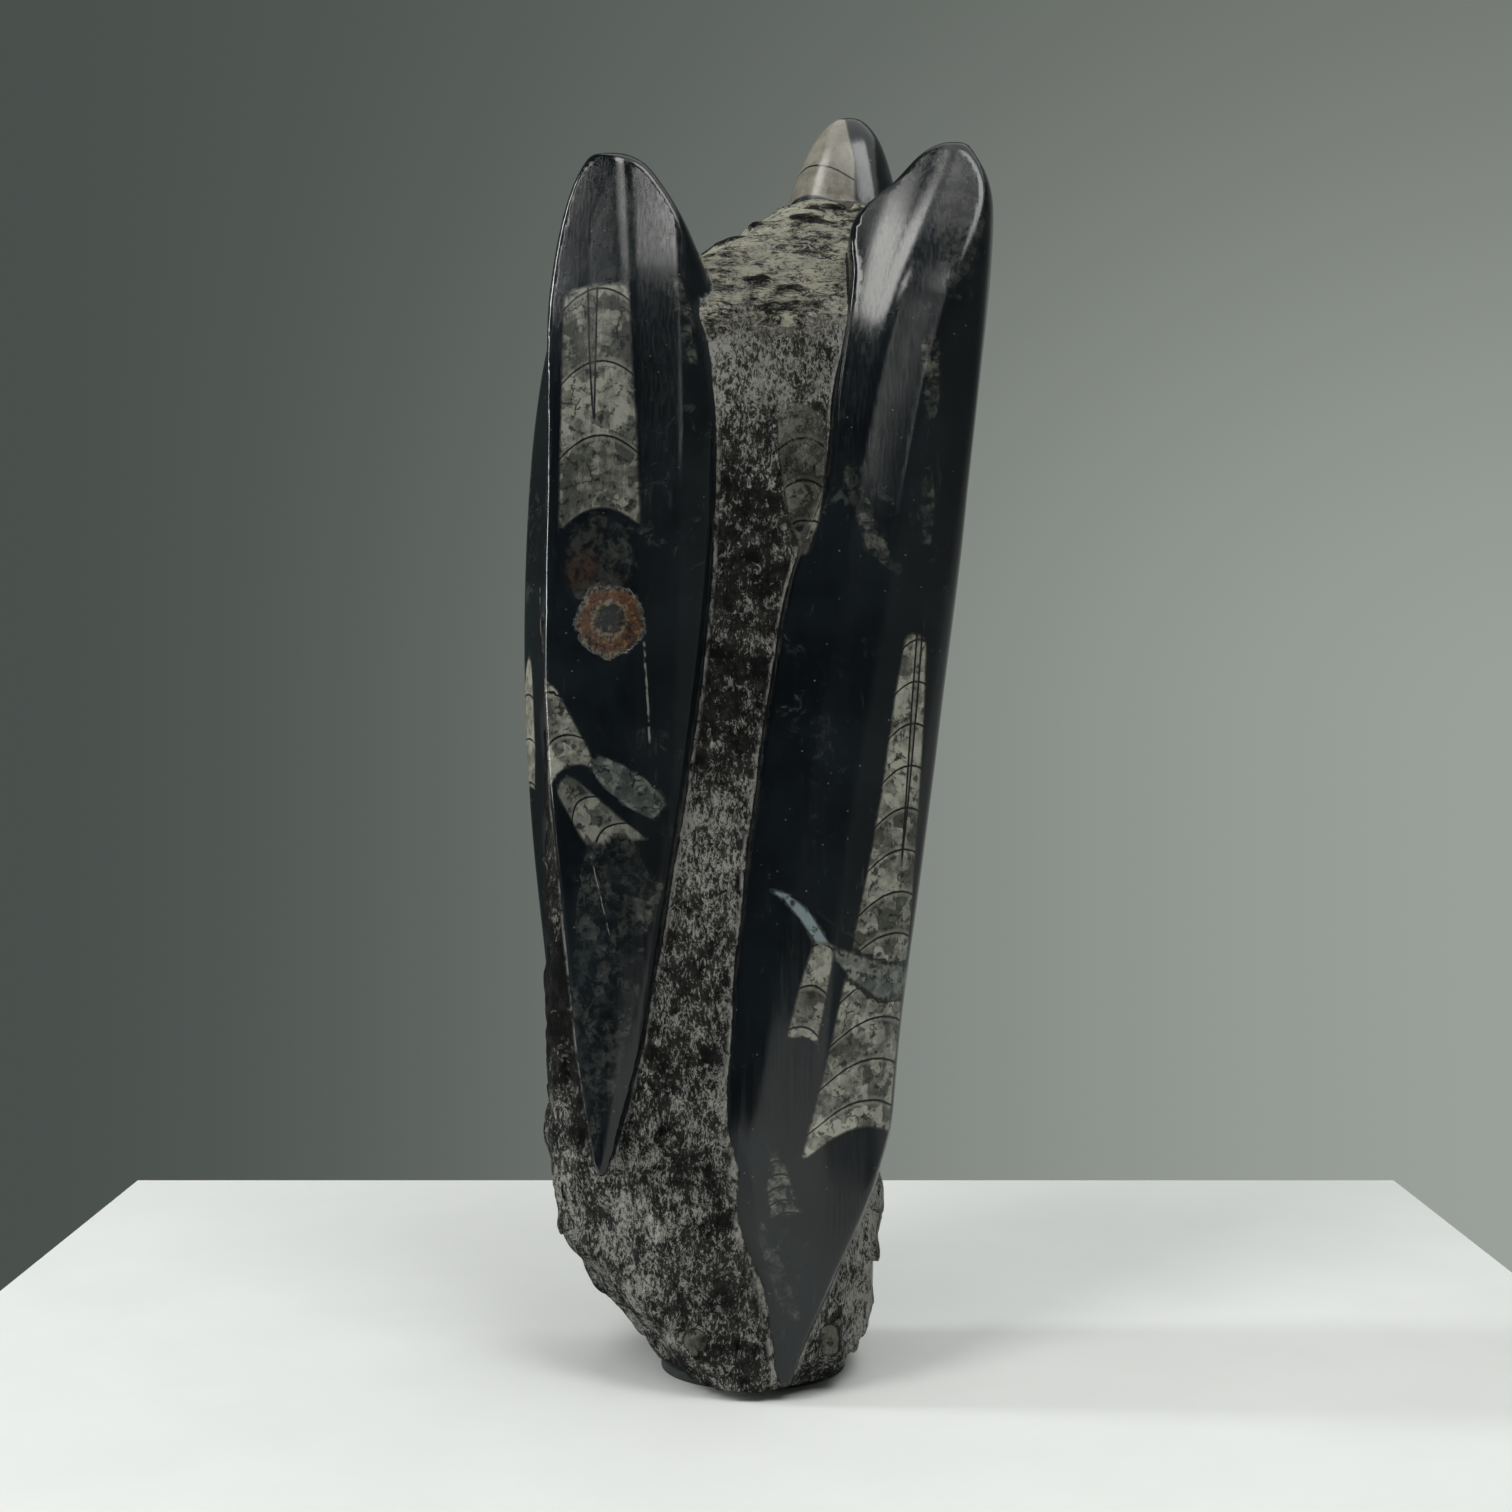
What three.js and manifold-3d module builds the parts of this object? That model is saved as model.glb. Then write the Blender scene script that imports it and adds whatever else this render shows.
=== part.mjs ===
// A tall block of black orthoceras limestone, carved into four polished spires that rise from one
// rough body, standing on a thin round pad.
//
// Millimetres. X runs to the right, Y away from the front, Z up. The origin is the middle of the
// pad's underside.

import * as THREE from 'three';
import { mergeVertices } from 'three/addons/utils/BufferGeometryUtils.js';
import Module from 'manifold-3d';

// ---------------------------------------------------------------- driving dimensions

const PAD_RADIUS = 31;
const PAD_THICKNESS = 3;
const PAD_EDGE_RADIUS = 1.2;
const PAD_GAP = 0.3;
const FOOT_Z = PAD_THICKNESS + PAD_GAP;

const SPIRE_ROUNDNESS = 3;      // exponent of a spire's squarish section
const BODY_ROUNDNESS = 4.5;     // exponent of the rough body's boxier section
const ARRIS_SOFTNESS = 1.6;     // how far an edge between two ground faces is eased
const HOLLOW_REACH = 20;        // a hollow face stops dipping this far from its middle
const LUMP_HEIGHT = 0.55;       // swell of the rough break
const SMALLEST_HALF = 0.2;      // a section never closes to less than this
const SEARCH_REACH = 1.6;       // how far out a ring is looked for, in section half widths
const SEARCH_STEPS = 24;
const ROUGH_MESH = { sides: 48, levels: 34 };
const SPIRE_MESH = { sides: 30, levels: 26 };
const PAD_SIDES = 48;

// Each spire is a tapered round body with flat or hollow faces ground on it.
// body rows: height, then the section's left, right, front and back limits.
// nose rows: height, then x and y of the line that its faces are ground to.
// faces: compass angle in degrees (0 is +X, -90 the front), distance from the nose line, hollow
// (how much the face dips, per mm squared across it).
const SPIRES = {
  frontLeft: {
    body: [
      [72, -48.5, -48.5, -46.5, -41], [90, -53.2, -41.4, -49, -30], [115, -57, -34.6, -51, -22],
      [155, -61.3, -27.2, -52, -14], [195, -65.6, -20.6, -53, -8], [250, -68.4, -13.6, -53, -3],
      [300, -69, -11, -52, -1], [350, -66.8, -11.6, -46, -1], [375, -63.4, -19.8, -41, -3],
      [392, -58.5, -29.5, -34, -6], [398.5, -55, -35, -29, -8], [402, -51.5, -41.6, -23, -11],
    ],
    nose: [[60, -47, -46.5], [150, -43, -46.5], [250, -40, -45.5], [320, -39, -42.5],
      [410, -43, -26]],
    faces: [[-115, 0, 0], [-90, 0, 0], [-58, 10, 0], [174, 29, 0]],
  },
  frontRight: {
    body: [
      [5, 10.2, 10.2, -46, -42], [20, 4, 17.4, -49, -34], [40, -1.8, 26.8, -52, -24],
      [88, -9.8, 45.4, -54, -8], [130, -8, 50.7, -54, -2], [180, -2.7, 56.4, -54, 2],
      [224, 3.6, 61.5, -54, 4], [268, 12.2, 67, -54, 5], [290, 20.6, 69.3, -53, 5],
      [325, 25, 73.2, -50, 4], [360, 30.4, 77, -44, 2], [380, 32.5, 78.2, -39, 0],
      [393, 46, 76.6, -33, -3], [403.4, 56.7, 71.4, -25, -9], [406, 62.5, 69, -20, -14],
    ],
    nose: [[5, 9, -46.6], [88, 2, -49], [176, 12, -49], [250, 24, -48], [320, 36, -44],
      [360, 47, -39], [410, 66, -22]],
    faces: [[-116, 0, -0.01], [-91, 0, -0.003], [-66, 9, 0], [-40, 24, 0], [-6, 42, 0]],
  },
  backRight: {
    body: [
      [42, 33, 33, 40, 47.5], [62, 25, 39, 32, 52], [100, 15, 44.5, 22, 58],
      [150, 7, 50, 13, 60], [210, 2, 56, 8, 61], [280, 0, 60, 7, 60], [340, 3, 61, 9, 58],
      [380, 8, 55, 13, 55], [402, 13.9, 49.2, 18, 51], [417.5, 21.2, 44, 24, 46.5],
      [424, 27, 39, 29, 42], [426, 30.5, 35.5, 32, 38.5],
    ],
    nose: [[30, 33, 48.5], [100, 30, 54.5], [200, 30, 58], [300, 31, 57], [360, 32, 53],
      [430, 33, 42]],
    faces: [[62, 1.5, 0], [98, 0, 0], [130, 8, 0], [-42, 36, 0], [-128, 40, 0]],
  },
  backLeft: {
    body: [
      [62, -62, -60, 14, 21], [80, -67, -51, 4, 32], [104, -69, -42, 0, 40],
      [140, -72.4, -33, -5, 46], [190, -77.8, -24, -9, 50], [240, -79.8, -19, -10, 51],
      [290, -78.4, -19, -8, 49], [330, -74.2, -24, -3, 45], [360, -67, -31, 5, 40],
      [378, -60.5, -38, 12, 35], [386, -54, -47, 18, 29],
    ],
    nose: [[60, -62, 18], [104, -68, 18], [190, -76.5, 17], [260, -78, 17], [330, -73, 19],
      [390, -60, 23]],
    faces: [[-150, 2, 0], [172, 0, 0], [128, 10, 0], [92, 28, 0]],
  },
};

// The rough body between the spires, closed at the top by a slope that climbs to the back.
const ROUGH_BODY = [
  [FOOT_Z, -32, 34, -46.2, 37], [20, -46, 39.5, -46.2, 43], [40, -62, 40.5, -46, 47],
  [56, -64.4, 43, -45.6, 49], [78, -68.2, 42.5, -45, 50], [100, -68.4, 42.5, -44, 51],
  [150, -68.5, 45.5, -41.5, 53], [200, -69, 50.5, -39.5, 54], [250, -69, 55, -38, 54],
  [300, -66, 60, -37, 52], [340, -61, 63, -36, 50], [351, -57, 62, -35, 49],
  [360, -42, 61, -26, 48], [369, -25, 59, -15, 46], [378, -10, 55, -4, 43],
  [386, 1, 49, 6, 38], [392, 10, 40, 12, 31], [394.5, 17, 33, 16, 26],
];

// Flat breaks on the rough body: a point on each, and the way it faces.
const BREAKS = [
  { at: [-46, -38, 70], faces: [-0.43, -0.9, 0.0] },
  { at: [-46.5, -5, 22], faces: [-0.72, -0.34, -0.61] },
  { at: [-14, -40, 5.5], faces: [-0.5, -0.6, -0.62] },
  { at: [18, -38, 7.5], faces: [0.5, -0.6, -0.62] },
  { at: [36, -6, 8], faces: [0.68, -0.2, -0.7] },
  { at: [36, -28, 50], faces: [0.78, -0.62, -0.05] },
  { at: [34, 34, 14], faces: [0.45, 0.6, -0.66] },
  { at: [-24, 38, 12], faces: [-0.4, 0.6, -0.69] },
  { at: [-62, 34, 60], faces: [-0.75, 0.62, -0.24] },
];

// ---------------------------------------------------------------- smooth rows and values

// Column `c` of `rows` at height z, on a smooth curve through the rows.
function along(rows, c, z, shape = (v) => v) {
  let i = 0;
  while (i < rows.length - 2 && z > rows[i + 1][0]) {
    i += 1;
  }
  const slope = (k) => (shape(rows[k + 1][c]) - shape(rows[k][c])) / (rows[k + 1][0] - rows[k][0]);
  const tangent = (k) => {
    if (k === 0) {
      return slope(0);
    }
    if (k === rows.length - 1) {
      return slope(k - 1);
    }
    return (slope(k - 1) + slope(k)) / 2;
  };
  const span = rows[i + 1][0] - rows[i][0];
  const t = THREE.MathUtils.clamp((z - rows[i][0]) / span, 0, 1);
  const a = shape(rows[i][c]);
  const b = shape(rows[i + 1][c]);
  return a * (1 + 2 * t) * (1 - t) ** 2 + b * t * t * (3 - 2 * t)
    + span * (tangent(i) * t * (1 - t) ** 2 - tangent(i + 1) * t * t * (1 - t));
}

// Section limits at height z. Squared widths are what is smoothed, so an end closes round.
function section(rows, z) {
  const widths = rows.map(([h, left, right, front, back]) => [
    h, (left + right) / 2, ((right - left) / 2) ** 2, (front + back) / 2, ((back - front) / 2) ** 2,
  ]);
  return {
    x: along(widths, 1, z),
    y: along(widths, 3, z),
    halfX: Math.sqrt(Math.max(along(widths, 2, z), SMALLEST_HALF ** 2)),
    halfY: Math.sqrt(Math.max(along(widths, 4, z), SMALLEST_HALF ** 2)),
  };
}

function softMax(a, b, softness) {
  const blend = Math.max(softness - Math.abs(a - b), 0) / softness;
  return Math.max(a, b) + blend * blend * softness / 4;
}

// Rough distance outside a squarish section, negative inside.
function outsideSection(s, roundness, x, y) {
  const u = Math.abs(x - s.x) / s.halfX;
  const v = Math.abs(y - s.y) / s.halfY;
  return ((u ** roundness + v ** roundness) ** (1 / roundness) - 1) * Math.min(s.halfX, s.halfY);
}

function outsideSpire(spire, s, x, y, z) {
  let value = outsideSection(s, SPIRE_ROUNDNESS, x, y);
  const dx = x - along(spire.nose, 1, z);
  const dy = y - along(spire.nose, 2, z);
  for (const [degrees, distance, hollow] of spire.faces) {
    const angle = THREE.MathUtils.degToRad(degrees);
    const out = dx * Math.cos(angle) + dy * Math.sin(angle);
    const across = dy * Math.cos(angle) - dx * Math.sin(angle);
    const dip = hollow * Math.min(across * across, HOLLOW_REACH ** 2);
    value = softMax(value, out - distance + dip, ARRIS_SOFTNESS);
  }
  return value;
}

function outsideRoughBody(s, x, y, z) {
  let value = outsideSection(s, BODY_ROUNDNESS, x, y);
  for (const { at, faces } of BREAKS) {
    const out = (x - at[0]) * faces[0] + (y - at[1]) * faces[1] + (z - at[2]) * faces[2];
    value = softMax(value, out, ARRIS_SOFTNESS);
  }
  const lump = Math.sin(x / 7.1 + z / 15.3) * Math.sin(y / 8.3 - z / 11.7)
    + Math.sin(z / 6.1 + x / 13.7 - y / 9.9);
  return value + LUMP_HEIGHT * lump;
}

// ---------------------------------------------------------------- lofting

// A closed skin of rings. Each ring point is found by halving steps out from the section's middle.
function loft(rows, outside, { sides, levels }) {
  const bottom = rows[0][0];
  const top = rows[rows.length - 1][0];
  const points = [];
  for (let j = 0; j <= levels; j += 1) {
    const z = bottom + (top - bottom) * (1 - Math.cos(Math.PI * j / levels)) / 2;
    const s = section(rows, z);
    for (let i = 0; i < sides; i += 1) {
      const angle = 2 * Math.PI * i / sides;
      const stepX = s.halfX * Math.cos(angle);
      const stepY = s.halfY * Math.sin(angle);
      let near = 0;
      let far = SEARCH_REACH;
      for (let k = 0; k < SEARCH_STEPS; k += 1) {
        const reach = (near + far) / 2;
        if (outside(s, s.x + reach * stepX, s.y + reach * stepY, z) < 0) {
          near = reach;
        } else {
          far = reach;
        }
      }
      points.push(s.x + near * stepX, s.y + near * stepY, z);
    }
  }
  const faces = [];
  for (let j = 0; j < levels; j += 1) {
    for (let i = 0; i < sides; i += 1) {
      const a = j * sides + i;
      const b = j * sides + (i + 1) % sides;
      faces.push(a, b, b + sides, a, b + sides, a + sides);
    }
  }
  const lastRing = levels * sides;
  for (let i = 1; i < sides - 1; i += 1) {
    faces.push(0, i + 1, i);
    faces.push(lastRing, lastRing + i, lastRing + i + 1);
  }
  const geometry = new THREE.BufferGeometry();
  geometry.setAttribute('position', new THREE.Float32BufferAttribute(points, 3));
  geometry.setIndex(faces);
  return geometry;
}

// ---------------------------------------------------------------- solids

const wasm = await Module();
wasm.setup();

function toSolid(geometry) {
  return new wasm.Manifold(new wasm.Mesh({
    numProp: 3,
    vertProperties: new Float32Array(geometry.attributes.position.array),
    triVerts: new Uint32Array(geometry.index.array),
  }));
}

function toGeometry(solid) {
  const mesh = solid.getMesh();
  const geometry = new THREE.BufferGeometry();
  geometry.setAttribute('position', new THREE.BufferAttribute(mesh.vertProperties, 3));
  geometry.setIndex(new THREE.BufferAttribute(mesh.triVerts, 1));
  return geometry;
}

function stoneGeometry() {
  let stone = toSolid(loft(ROUGH_BODY, outsideRoughBody, ROUGH_MESH));
  for (const spire of Object.values(SPIRES)) {
    const outside = (s, x, y, z) => outsideSpire(spire, s, x, y, z);
    stone = stone.add(toSolid(loft(spire.body, outside, SPIRE_MESH)));
  }
  return toGeometry(stone);
}

function padGeometry() {
  const inner = PAD_RADIUS - PAD_EDGE_RADIUS;
  const profile = [new THREE.Vector2(0, 0), new THREE.Vector2(inner, 0)];
  for (let k = 1; k < 4; k += 1) {
    const angle = Math.PI * (k / 4 - 0.5);
    profile.push(new THREE.Vector2(
      inner + PAD_EDGE_RADIUS * Math.cos(angle),
      PAD_THICKNESS / 2 + PAD_THICKNESS / 2 * Math.sin(angle),
    ));
  }
  profile.push(new THREE.Vector2(inner, PAD_THICKNESS), new THREE.Vector2(0, PAD_THICKNESS));
  const geometry = new THREE.LatheGeometry(profile, PAD_SIDES);
  geometry.rotateX(Math.PI / 2);
  geometry.deleteAttribute('normal');
  geometry.deleteAttribute('uv');
  return mergeVertices(geometry, 1e-3);
}

// ---------------------------------------------------------------- the object

function part(name, geometry, colour, roughness) {
  const material = new THREE.MeshStandardMaterial({ color: colour, roughness, metalness: 0 });
  const mesh = new THREE.Mesh(geometry, material);
  mesh.name = name;
  return mesh;
}

const group = new THREE.Group();
group.add(part('fossil_stone', stoneGeometry(), 0x1d2326, 0.25));
group.add(part('base_pad', padGeometry(), 0x232d28, 0.85));

export default group;
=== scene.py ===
"""A carved tower of black orthoceras limestone: polished spires on a rough block, on a thin pad."""

import math

import bpy
import numpy as np
from bpy.props import FloatProperty, FloatVectorProperty, IntProperty, PointerProperty
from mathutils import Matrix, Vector


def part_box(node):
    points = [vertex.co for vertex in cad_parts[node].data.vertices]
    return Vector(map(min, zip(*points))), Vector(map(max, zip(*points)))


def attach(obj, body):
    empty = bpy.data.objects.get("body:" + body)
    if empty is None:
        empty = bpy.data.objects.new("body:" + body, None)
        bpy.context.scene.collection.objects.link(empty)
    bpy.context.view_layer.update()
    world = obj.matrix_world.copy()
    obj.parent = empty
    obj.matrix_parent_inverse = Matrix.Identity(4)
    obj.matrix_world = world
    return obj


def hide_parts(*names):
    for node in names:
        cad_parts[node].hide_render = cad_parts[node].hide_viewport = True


bl_info = {
    "name": "Orthoceras Tower",
    "version": (1, 0, 0),
    "blender": (4, 5, 0),
    "location": "View3D > Sidebar > Fossil",
    "description": "Makes a polished and rough tower of orthoceras limestone on its pad",
    "category": "Add Mesh",
}

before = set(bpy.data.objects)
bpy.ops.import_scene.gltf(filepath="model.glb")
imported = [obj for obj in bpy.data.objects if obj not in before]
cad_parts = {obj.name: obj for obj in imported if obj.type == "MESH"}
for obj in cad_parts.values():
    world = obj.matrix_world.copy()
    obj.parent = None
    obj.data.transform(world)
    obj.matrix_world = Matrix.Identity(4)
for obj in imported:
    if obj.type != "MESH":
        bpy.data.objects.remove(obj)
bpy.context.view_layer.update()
MM = 0.001
STONE_LOW, STONE_HIGH = (np.array(corner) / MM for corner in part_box("fossil_stone"))
PAD_LOW, PAD_HIGH = (np.array(corner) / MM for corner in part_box("base_pad"))

# ------------------------------------------------------------------ the carved shape, in mm

SPIRE_ROUNDNESS = 3.0      # exponent of a spire's squarish section
BODY_ROUNDNESS = 4.5       # exponent of the rough body's boxier section
ARRIS_SOFTNESS = 1.6       # how far an edge between two ground faces is eased
HOLLOW_REACH = 20.0        # a hollow face stops dipping this far from its middle
LUMP_HEIGHT = 0.55         # swell of the rough break
SMALLEST_HALF = 0.2        # a section never closes to less than this
SKIN_EASE = 0.25           # the finished skin lies this far inside the block it is cut from
BOX_INSET = 0.05           # and the mesh at least this far inside the stone's own box

# body rows: height, then the section's left, right, front and back limits.
# nose rows: height, then x and y of the line that the ground faces are set out from.
# faces: compass angle (0 is +X, -90 the front), distance from the nose line, hollow.
SPIRES = {
    "front_left": {
        "body": [
            [72, -48.5, -48.5, -46.5, -41], [90, -53.2, -41.4, -49, -30],
            [115, -57, -34.6, -51, -22], [155, -61.3, -27.2, -52, -14],
            [195, -65.6, -20.6, -53, -8], [250, -68.4, -13.6, -53, -3],
            [300, -69, -11, -52, -1], [350, -66.8, -11.6, -46, -1], [375, -63.4, -19.8, -41, -3],
            [392, -58.5, -29.5, -34, -6], [398.5, -55, -35, -29, -8],
            [402, -51.5, -41.6, -23, -11],
        ],
        "nose": [[60, -47, -46.5], [150, -43, -46.5], [250, -40, -45.5], [320, -39, -42.5],
                 [410, -43, -26]],
        "faces": [[-115, 0, 0], [-90, 0, 0], [-58, 10, 0], [174, 29, 0]],
    },
    "front_right": {
        "body": [
            [5, 10.2, 10.2, -46, -42], [20, 4, 17.4, -49, -34], [40, -1.8, 26.8, -52, -24],
            [88, -9.8, 45.4, -54, -8], [130, -8, 50.7, -54, -2], [180, -2.7, 56.4, -54, 2],
            [224, 3.6, 61.5, -54, 4], [268, 12.2, 67, -54, 5], [290, 20.6, 69.3, -53, 5],
            [325, 25, 73.2, -50, 4], [360, 30.4, 77, -44, 2], [380, 32.5, 78.2, -39, 0],
            [393, 46, 76.6, -33, -3], [403.4, 56.7, 71.4, -25, -9], [406, 62.5, 69, -20, -14],
        ],
        "nose": [[5, 9, -46.6], [88, 2, -49], [176, 12, -49], [250, 24, -48], [320, 36, -44],
                 [360, 47, -39], [410, 66, -22]],
        "faces": [[-116, 0, -0.01], [-91, 0, -0.003], [-66, 9, 0], [-40, 24, 0], [-6, 42, 0]],
    },
    "back_right": {
        "body": [
            [42, 33, 33, 40, 47.5], [62, 25, 39, 32, 52], [100, 15, 44.5, 22, 58],
            [150, 7, 50, 13, 60], [210, 2, 56, 8, 61], [280, 0, 60, 7, 60], [340, 3, 61, 9, 58],
            [380, 8, 55, 13, 55], [402, 13.9, 49.2, 18, 51], [417.5, 21.2, 44, 24, 46.5],
            [424, 27, 39, 29, 42], [426, 30.5, 35.5, 32, 38.5],
        ],
        "nose": [[30, 33, 48.5], [100, 30, 54.5], [200, 30, 58], [300, 31, 57], [360, 32, 53],
                 [430, 33, 42]],
        "faces": [[62, 1.5, 0], [98, 0, 0], [130, 8, 0], [-42, 36, 0], [-128, 40, 0]],
    },
    "back_left": {
        "body": [
            [62, -62, -60, 14, 21], [80, -67, -51, 4, 32], [104, -69, -42, 0, 40],
            [140, -72.4, -33, -5, 46], [190, -77.8, -24, -9, 50], [240, -79.8, -19, -10, 51],
            [290, -78.4, -19, -8, 49], [330, -74.2, -24, -3, 45], [360, -67, -31, 5, 40],
            [378, -60.5, -38, 12, 35], [386, -54, -47, 18, 29],
        ],
        "nose": [[60, -62, 18], [104, -68, 18], [190, -76.5, 17], [260, -78, 17], [330, -73, 19],
                 [390, -60, 23]],
        "faces": [[-150, 2, 0], [172, 0, 0], [128, 10, 0], [92, 28, 0]],
    },
}

# The rough body between the spires, closed at the top by a slope that climbs to the back.
ROUGH_BODY = [
    [3.3, -32, 34, -46.2, 37], [20, -46, 39.5, -46.2, 43], [40, -62, 40.5, -46, 47],
    [56, -64.4, 43, -45.6, 49], [78, -68.2, 42.5, -45, 50], [100, -68.4, 42.5, -44, 51],
    [150, -68.5, 45.5, -41.5, 53], [200, -69, 50.5, -39.5, 54], [250, -69, 55, -38, 54],
    [300, -66, 60, -37, 52], [340, -61, 63, -36, 50], [351, -57, 62, -35, 49],
    [360, -42, 61, -26, 48], [369, -25, 59, -15, 46], [378, -10, 55, -4, 43],
    [386, 1, 49, 6, 38], [392, 10, 40, 12, 31], [394.5, 17, 33, 16, 26],
]

# Flat breaks on the rough body: a point on each, and the way it faces.
BREAKS = [
    ((-46, -38, 70), (-0.43, -0.9, 0.0)),
    ((-46.5, -5, 22), (-0.72, -0.34, -0.61)),
    ((-14, -40, 5.5), (-0.5, -0.6, -0.62)),
    ((18, -38, 7.5), (0.5, -0.6, -0.62)),
    ((36, -6, 8), (0.68, -0.2, -0.7)),
    ((36, -28, 50), (0.78, -0.62, -0.05)),
    ((34, 34, 14), (0.45, 0.6, -0.66)),
    ((-24, 38, 12), (-0.4, 0.6, -0.69)),
    ((-62, 34, 60), (-0.75, 0.62, -0.24)),
]


def along(rows, column, z):
    """A column of rows at heights z, on a smooth curve through the rows."""
    heights, values = rows[:, 0], rows[:, column]
    slopes = np.diff(values) / np.diff(heights)
    tangents = np.concatenate((slopes[:1], (slopes[:-1] + slopes[1:]) / 2, slopes[-1:]))
    i = np.clip(np.searchsorted(heights, z) - 1, 0, len(heights) - 2)
    span = heights[i + 1] - heights[i]
    t = np.clip((z - heights[i]) / span, 0, 1)
    rest = 1 - t
    return (values[i] * (1 + 2 * t) * rest**2 + values[i + 1] * t**2 * (3 - 2 * t)
            + span * (tangents[i] * t * rest**2 - tangents[i + 1] * t**2 * rest))


def soft_max(a, b, softness):
    """The larger of two values, eased where they are closer than softness."""
    blend = np.maximum(softness - np.abs(a - b), 0) / softness
    return np.maximum(a, b) + blend**2 * softness / 4


def section_rows(rows):
    """Rows of height, middle and squared half width in X, then in Y."""
    z, left, right, front, back = np.array(rows, float).T
    return np.stack((z, (left + right) / 2, ((right - left) / 2) ** 2,
                     (front + back) / 2, ((back - front) / 2) ** 2), axis=1)


def outside_section(rows, roundness, x, y, z):
    """Rough distance outside a squarish section that follows rows, negative inside."""
    half_x = np.sqrt(np.maximum(along(rows, 2, z), SMALLEST_HALF**2))
    half_y = np.sqrt(np.maximum(along(rows, 4, z), SMALLEST_HALF**2))
    u = np.abs(x - along(rows, 1, z)) / half_x
    v = np.abs(y - along(rows, 3, z)) / half_y
    reach = (u**roundness + v**roundness) ** (1 / roundness)
    return (reach - 1) * np.minimum(half_x, half_y)


class Spire:
    """One polished spire: a tapered round body with flat or hollow faces ground on it."""

    def __init__(self, plan):
        self.body = section_rows(plan["body"])
        self.nose = np.array(plan["nose"], float)
        self.faces = plan["faces"]

    def outside(self, x, y, z):
        value = outside_section(self.body, SPIRE_ROUNDNESS, x, y, z)
        dx, dy = x - along(self.nose, 1, z), y - along(self.nose, 2, z)
        for degrees, distance, hollow in self.faces:
            c, s = math.cos(math.radians(degrees)), math.sin(math.radians(degrees))
            across = dy * c - dx * s
            dip = hollow * np.minimum(across**2, HOLLOW_REACH**2)
            value = soft_max(value, dx * c + dy * s - distance + dip, ARRIS_SOFTNESS)
        ends = np.maximum(self.body[0, 0] - z, z - self.body[-1, 0])
        return soft_max(value, ends, ARRIS_SOFTNESS) + SKIN_EASE


class RoughBody:
    """The broken block between the spires."""

    def __init__(self):
        self.rows = section_rows(ROUGH_BODY)

    def outside(self, x, y, z):
        value = outside_section(self.rows, BODY_ROUNDNESS, x, y, z)
        for at, faces in BREAKS:
            out = (x - at[0]) * faces[0] + (y - at[1]) * faces[1] + (z - at[2]) * faces[2]
            value = soft_max(value, out, ARRIS_SOFTNESS)
        lump = (np.sin(x / 7.1 + z / 15.3) * np.sin(y / 8.3 - z / 11.7)
                + np.sin(z / 6.1 + x / 13.7 - y / 9.9))
        return value + LUMP_HEIGHT * lump + SKIN_EASE

    def ends(self, z):
        """Distance above or below the block, negative between its foot and its top."""
        return np.maximum(self.rows[0, 0] + BOX_INSET - z, z - self.rows[-1, 0])


LATTICE_SIZE = 32          # random values along each side of a swell's lattice


def swell(points, width, seed):
    """Smooth random values from -1 to 1 at an array of points; width is their rough spacing."""
    size = LATTICE_SIZE
    lattice = np.random.default_rng(seed).uniform(-1, 1, (size, size, size))
    place = points / np.asarray(width, float) + 8 * size
    low = np.floor(place).astype(int)
    t = place - low
    t = t * t * (3 - 2 * t)
    low %= size
    high = (low + 1) % size
    total = np.zeros(len(points))
    for i in (0, 1):
        for j in (0, 1):
            for k in (0, 1):
                corner = lattice[(high if i else low)[:, 0], (high if j else low)[:, 1],
                                 (high if k else low)[:, 2]]
                weight = (np.abs(1 - i - t[:, 0]) * np.abs(1 - j - t[:, 1])
                          * np.abs(1 - k - t[:, 2]))
                total += corner * weight
    return total


def rise(value, low, high):
    """0 below low, 1 above high, with a smooth climb between them."""
    t = np.clip((value - low) / (high - low), 0, 1)
    return t * t * (3 - 2 * t)


CHANNEL_CALM = 0.42        # the channel between the front spires is this much less broken


def break_relief(points):
    """Height of the broken surface's own relief at an array of points, in mm."""
    x, y, z = points.T
    base = 1 - rise(z, 70, 150)
    top = rise(z, 338, 356)
    channel = rise(-y, 24, 32) * rise(z, 90, 150) * (1 - top)
    slanted = np.stack((x + 0.25 * z, y, z - 0.2 * x), axis=1)
    lumps = swell(points, width=10.0, seed=11) + 0.5 * swell(points, width=5.2, seed=14)
    ribs = 1 - 2 * np.abs(swell(slanted, width=(5.2, 5.2, 19.0), seed=12))
    splinters = 1 - 2 * np.abs(swell(points, width=(13.0, 5.0, 3.4), seed=15))
    chips = swell(points, width=(3.5, 3.5, 5.5), seed=13)
    calm = 1 - (1 - CHANNEL_CALM) * channel
    height = 0.85 * lumps + 0.65 * chips
    height = height + (0.35 + 1.15 * base) * (1 - top) * ribs + 1.45 * top * splinters
    return height * calm


RELIEF_BAND = 4.0          # relief is worked out only this close to the rough surface
EDGE_CALM = 0.3            # relief left right beside a polished face
EDGE_REACH = (0.5, 5.0)    # from a polished face, where that calm starts and stops giving way
SLOPE_STEP = 0.05          # how far ahead a slope is felt for
FAR_AWAY = 1e3             # further than anything on the stone


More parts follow.
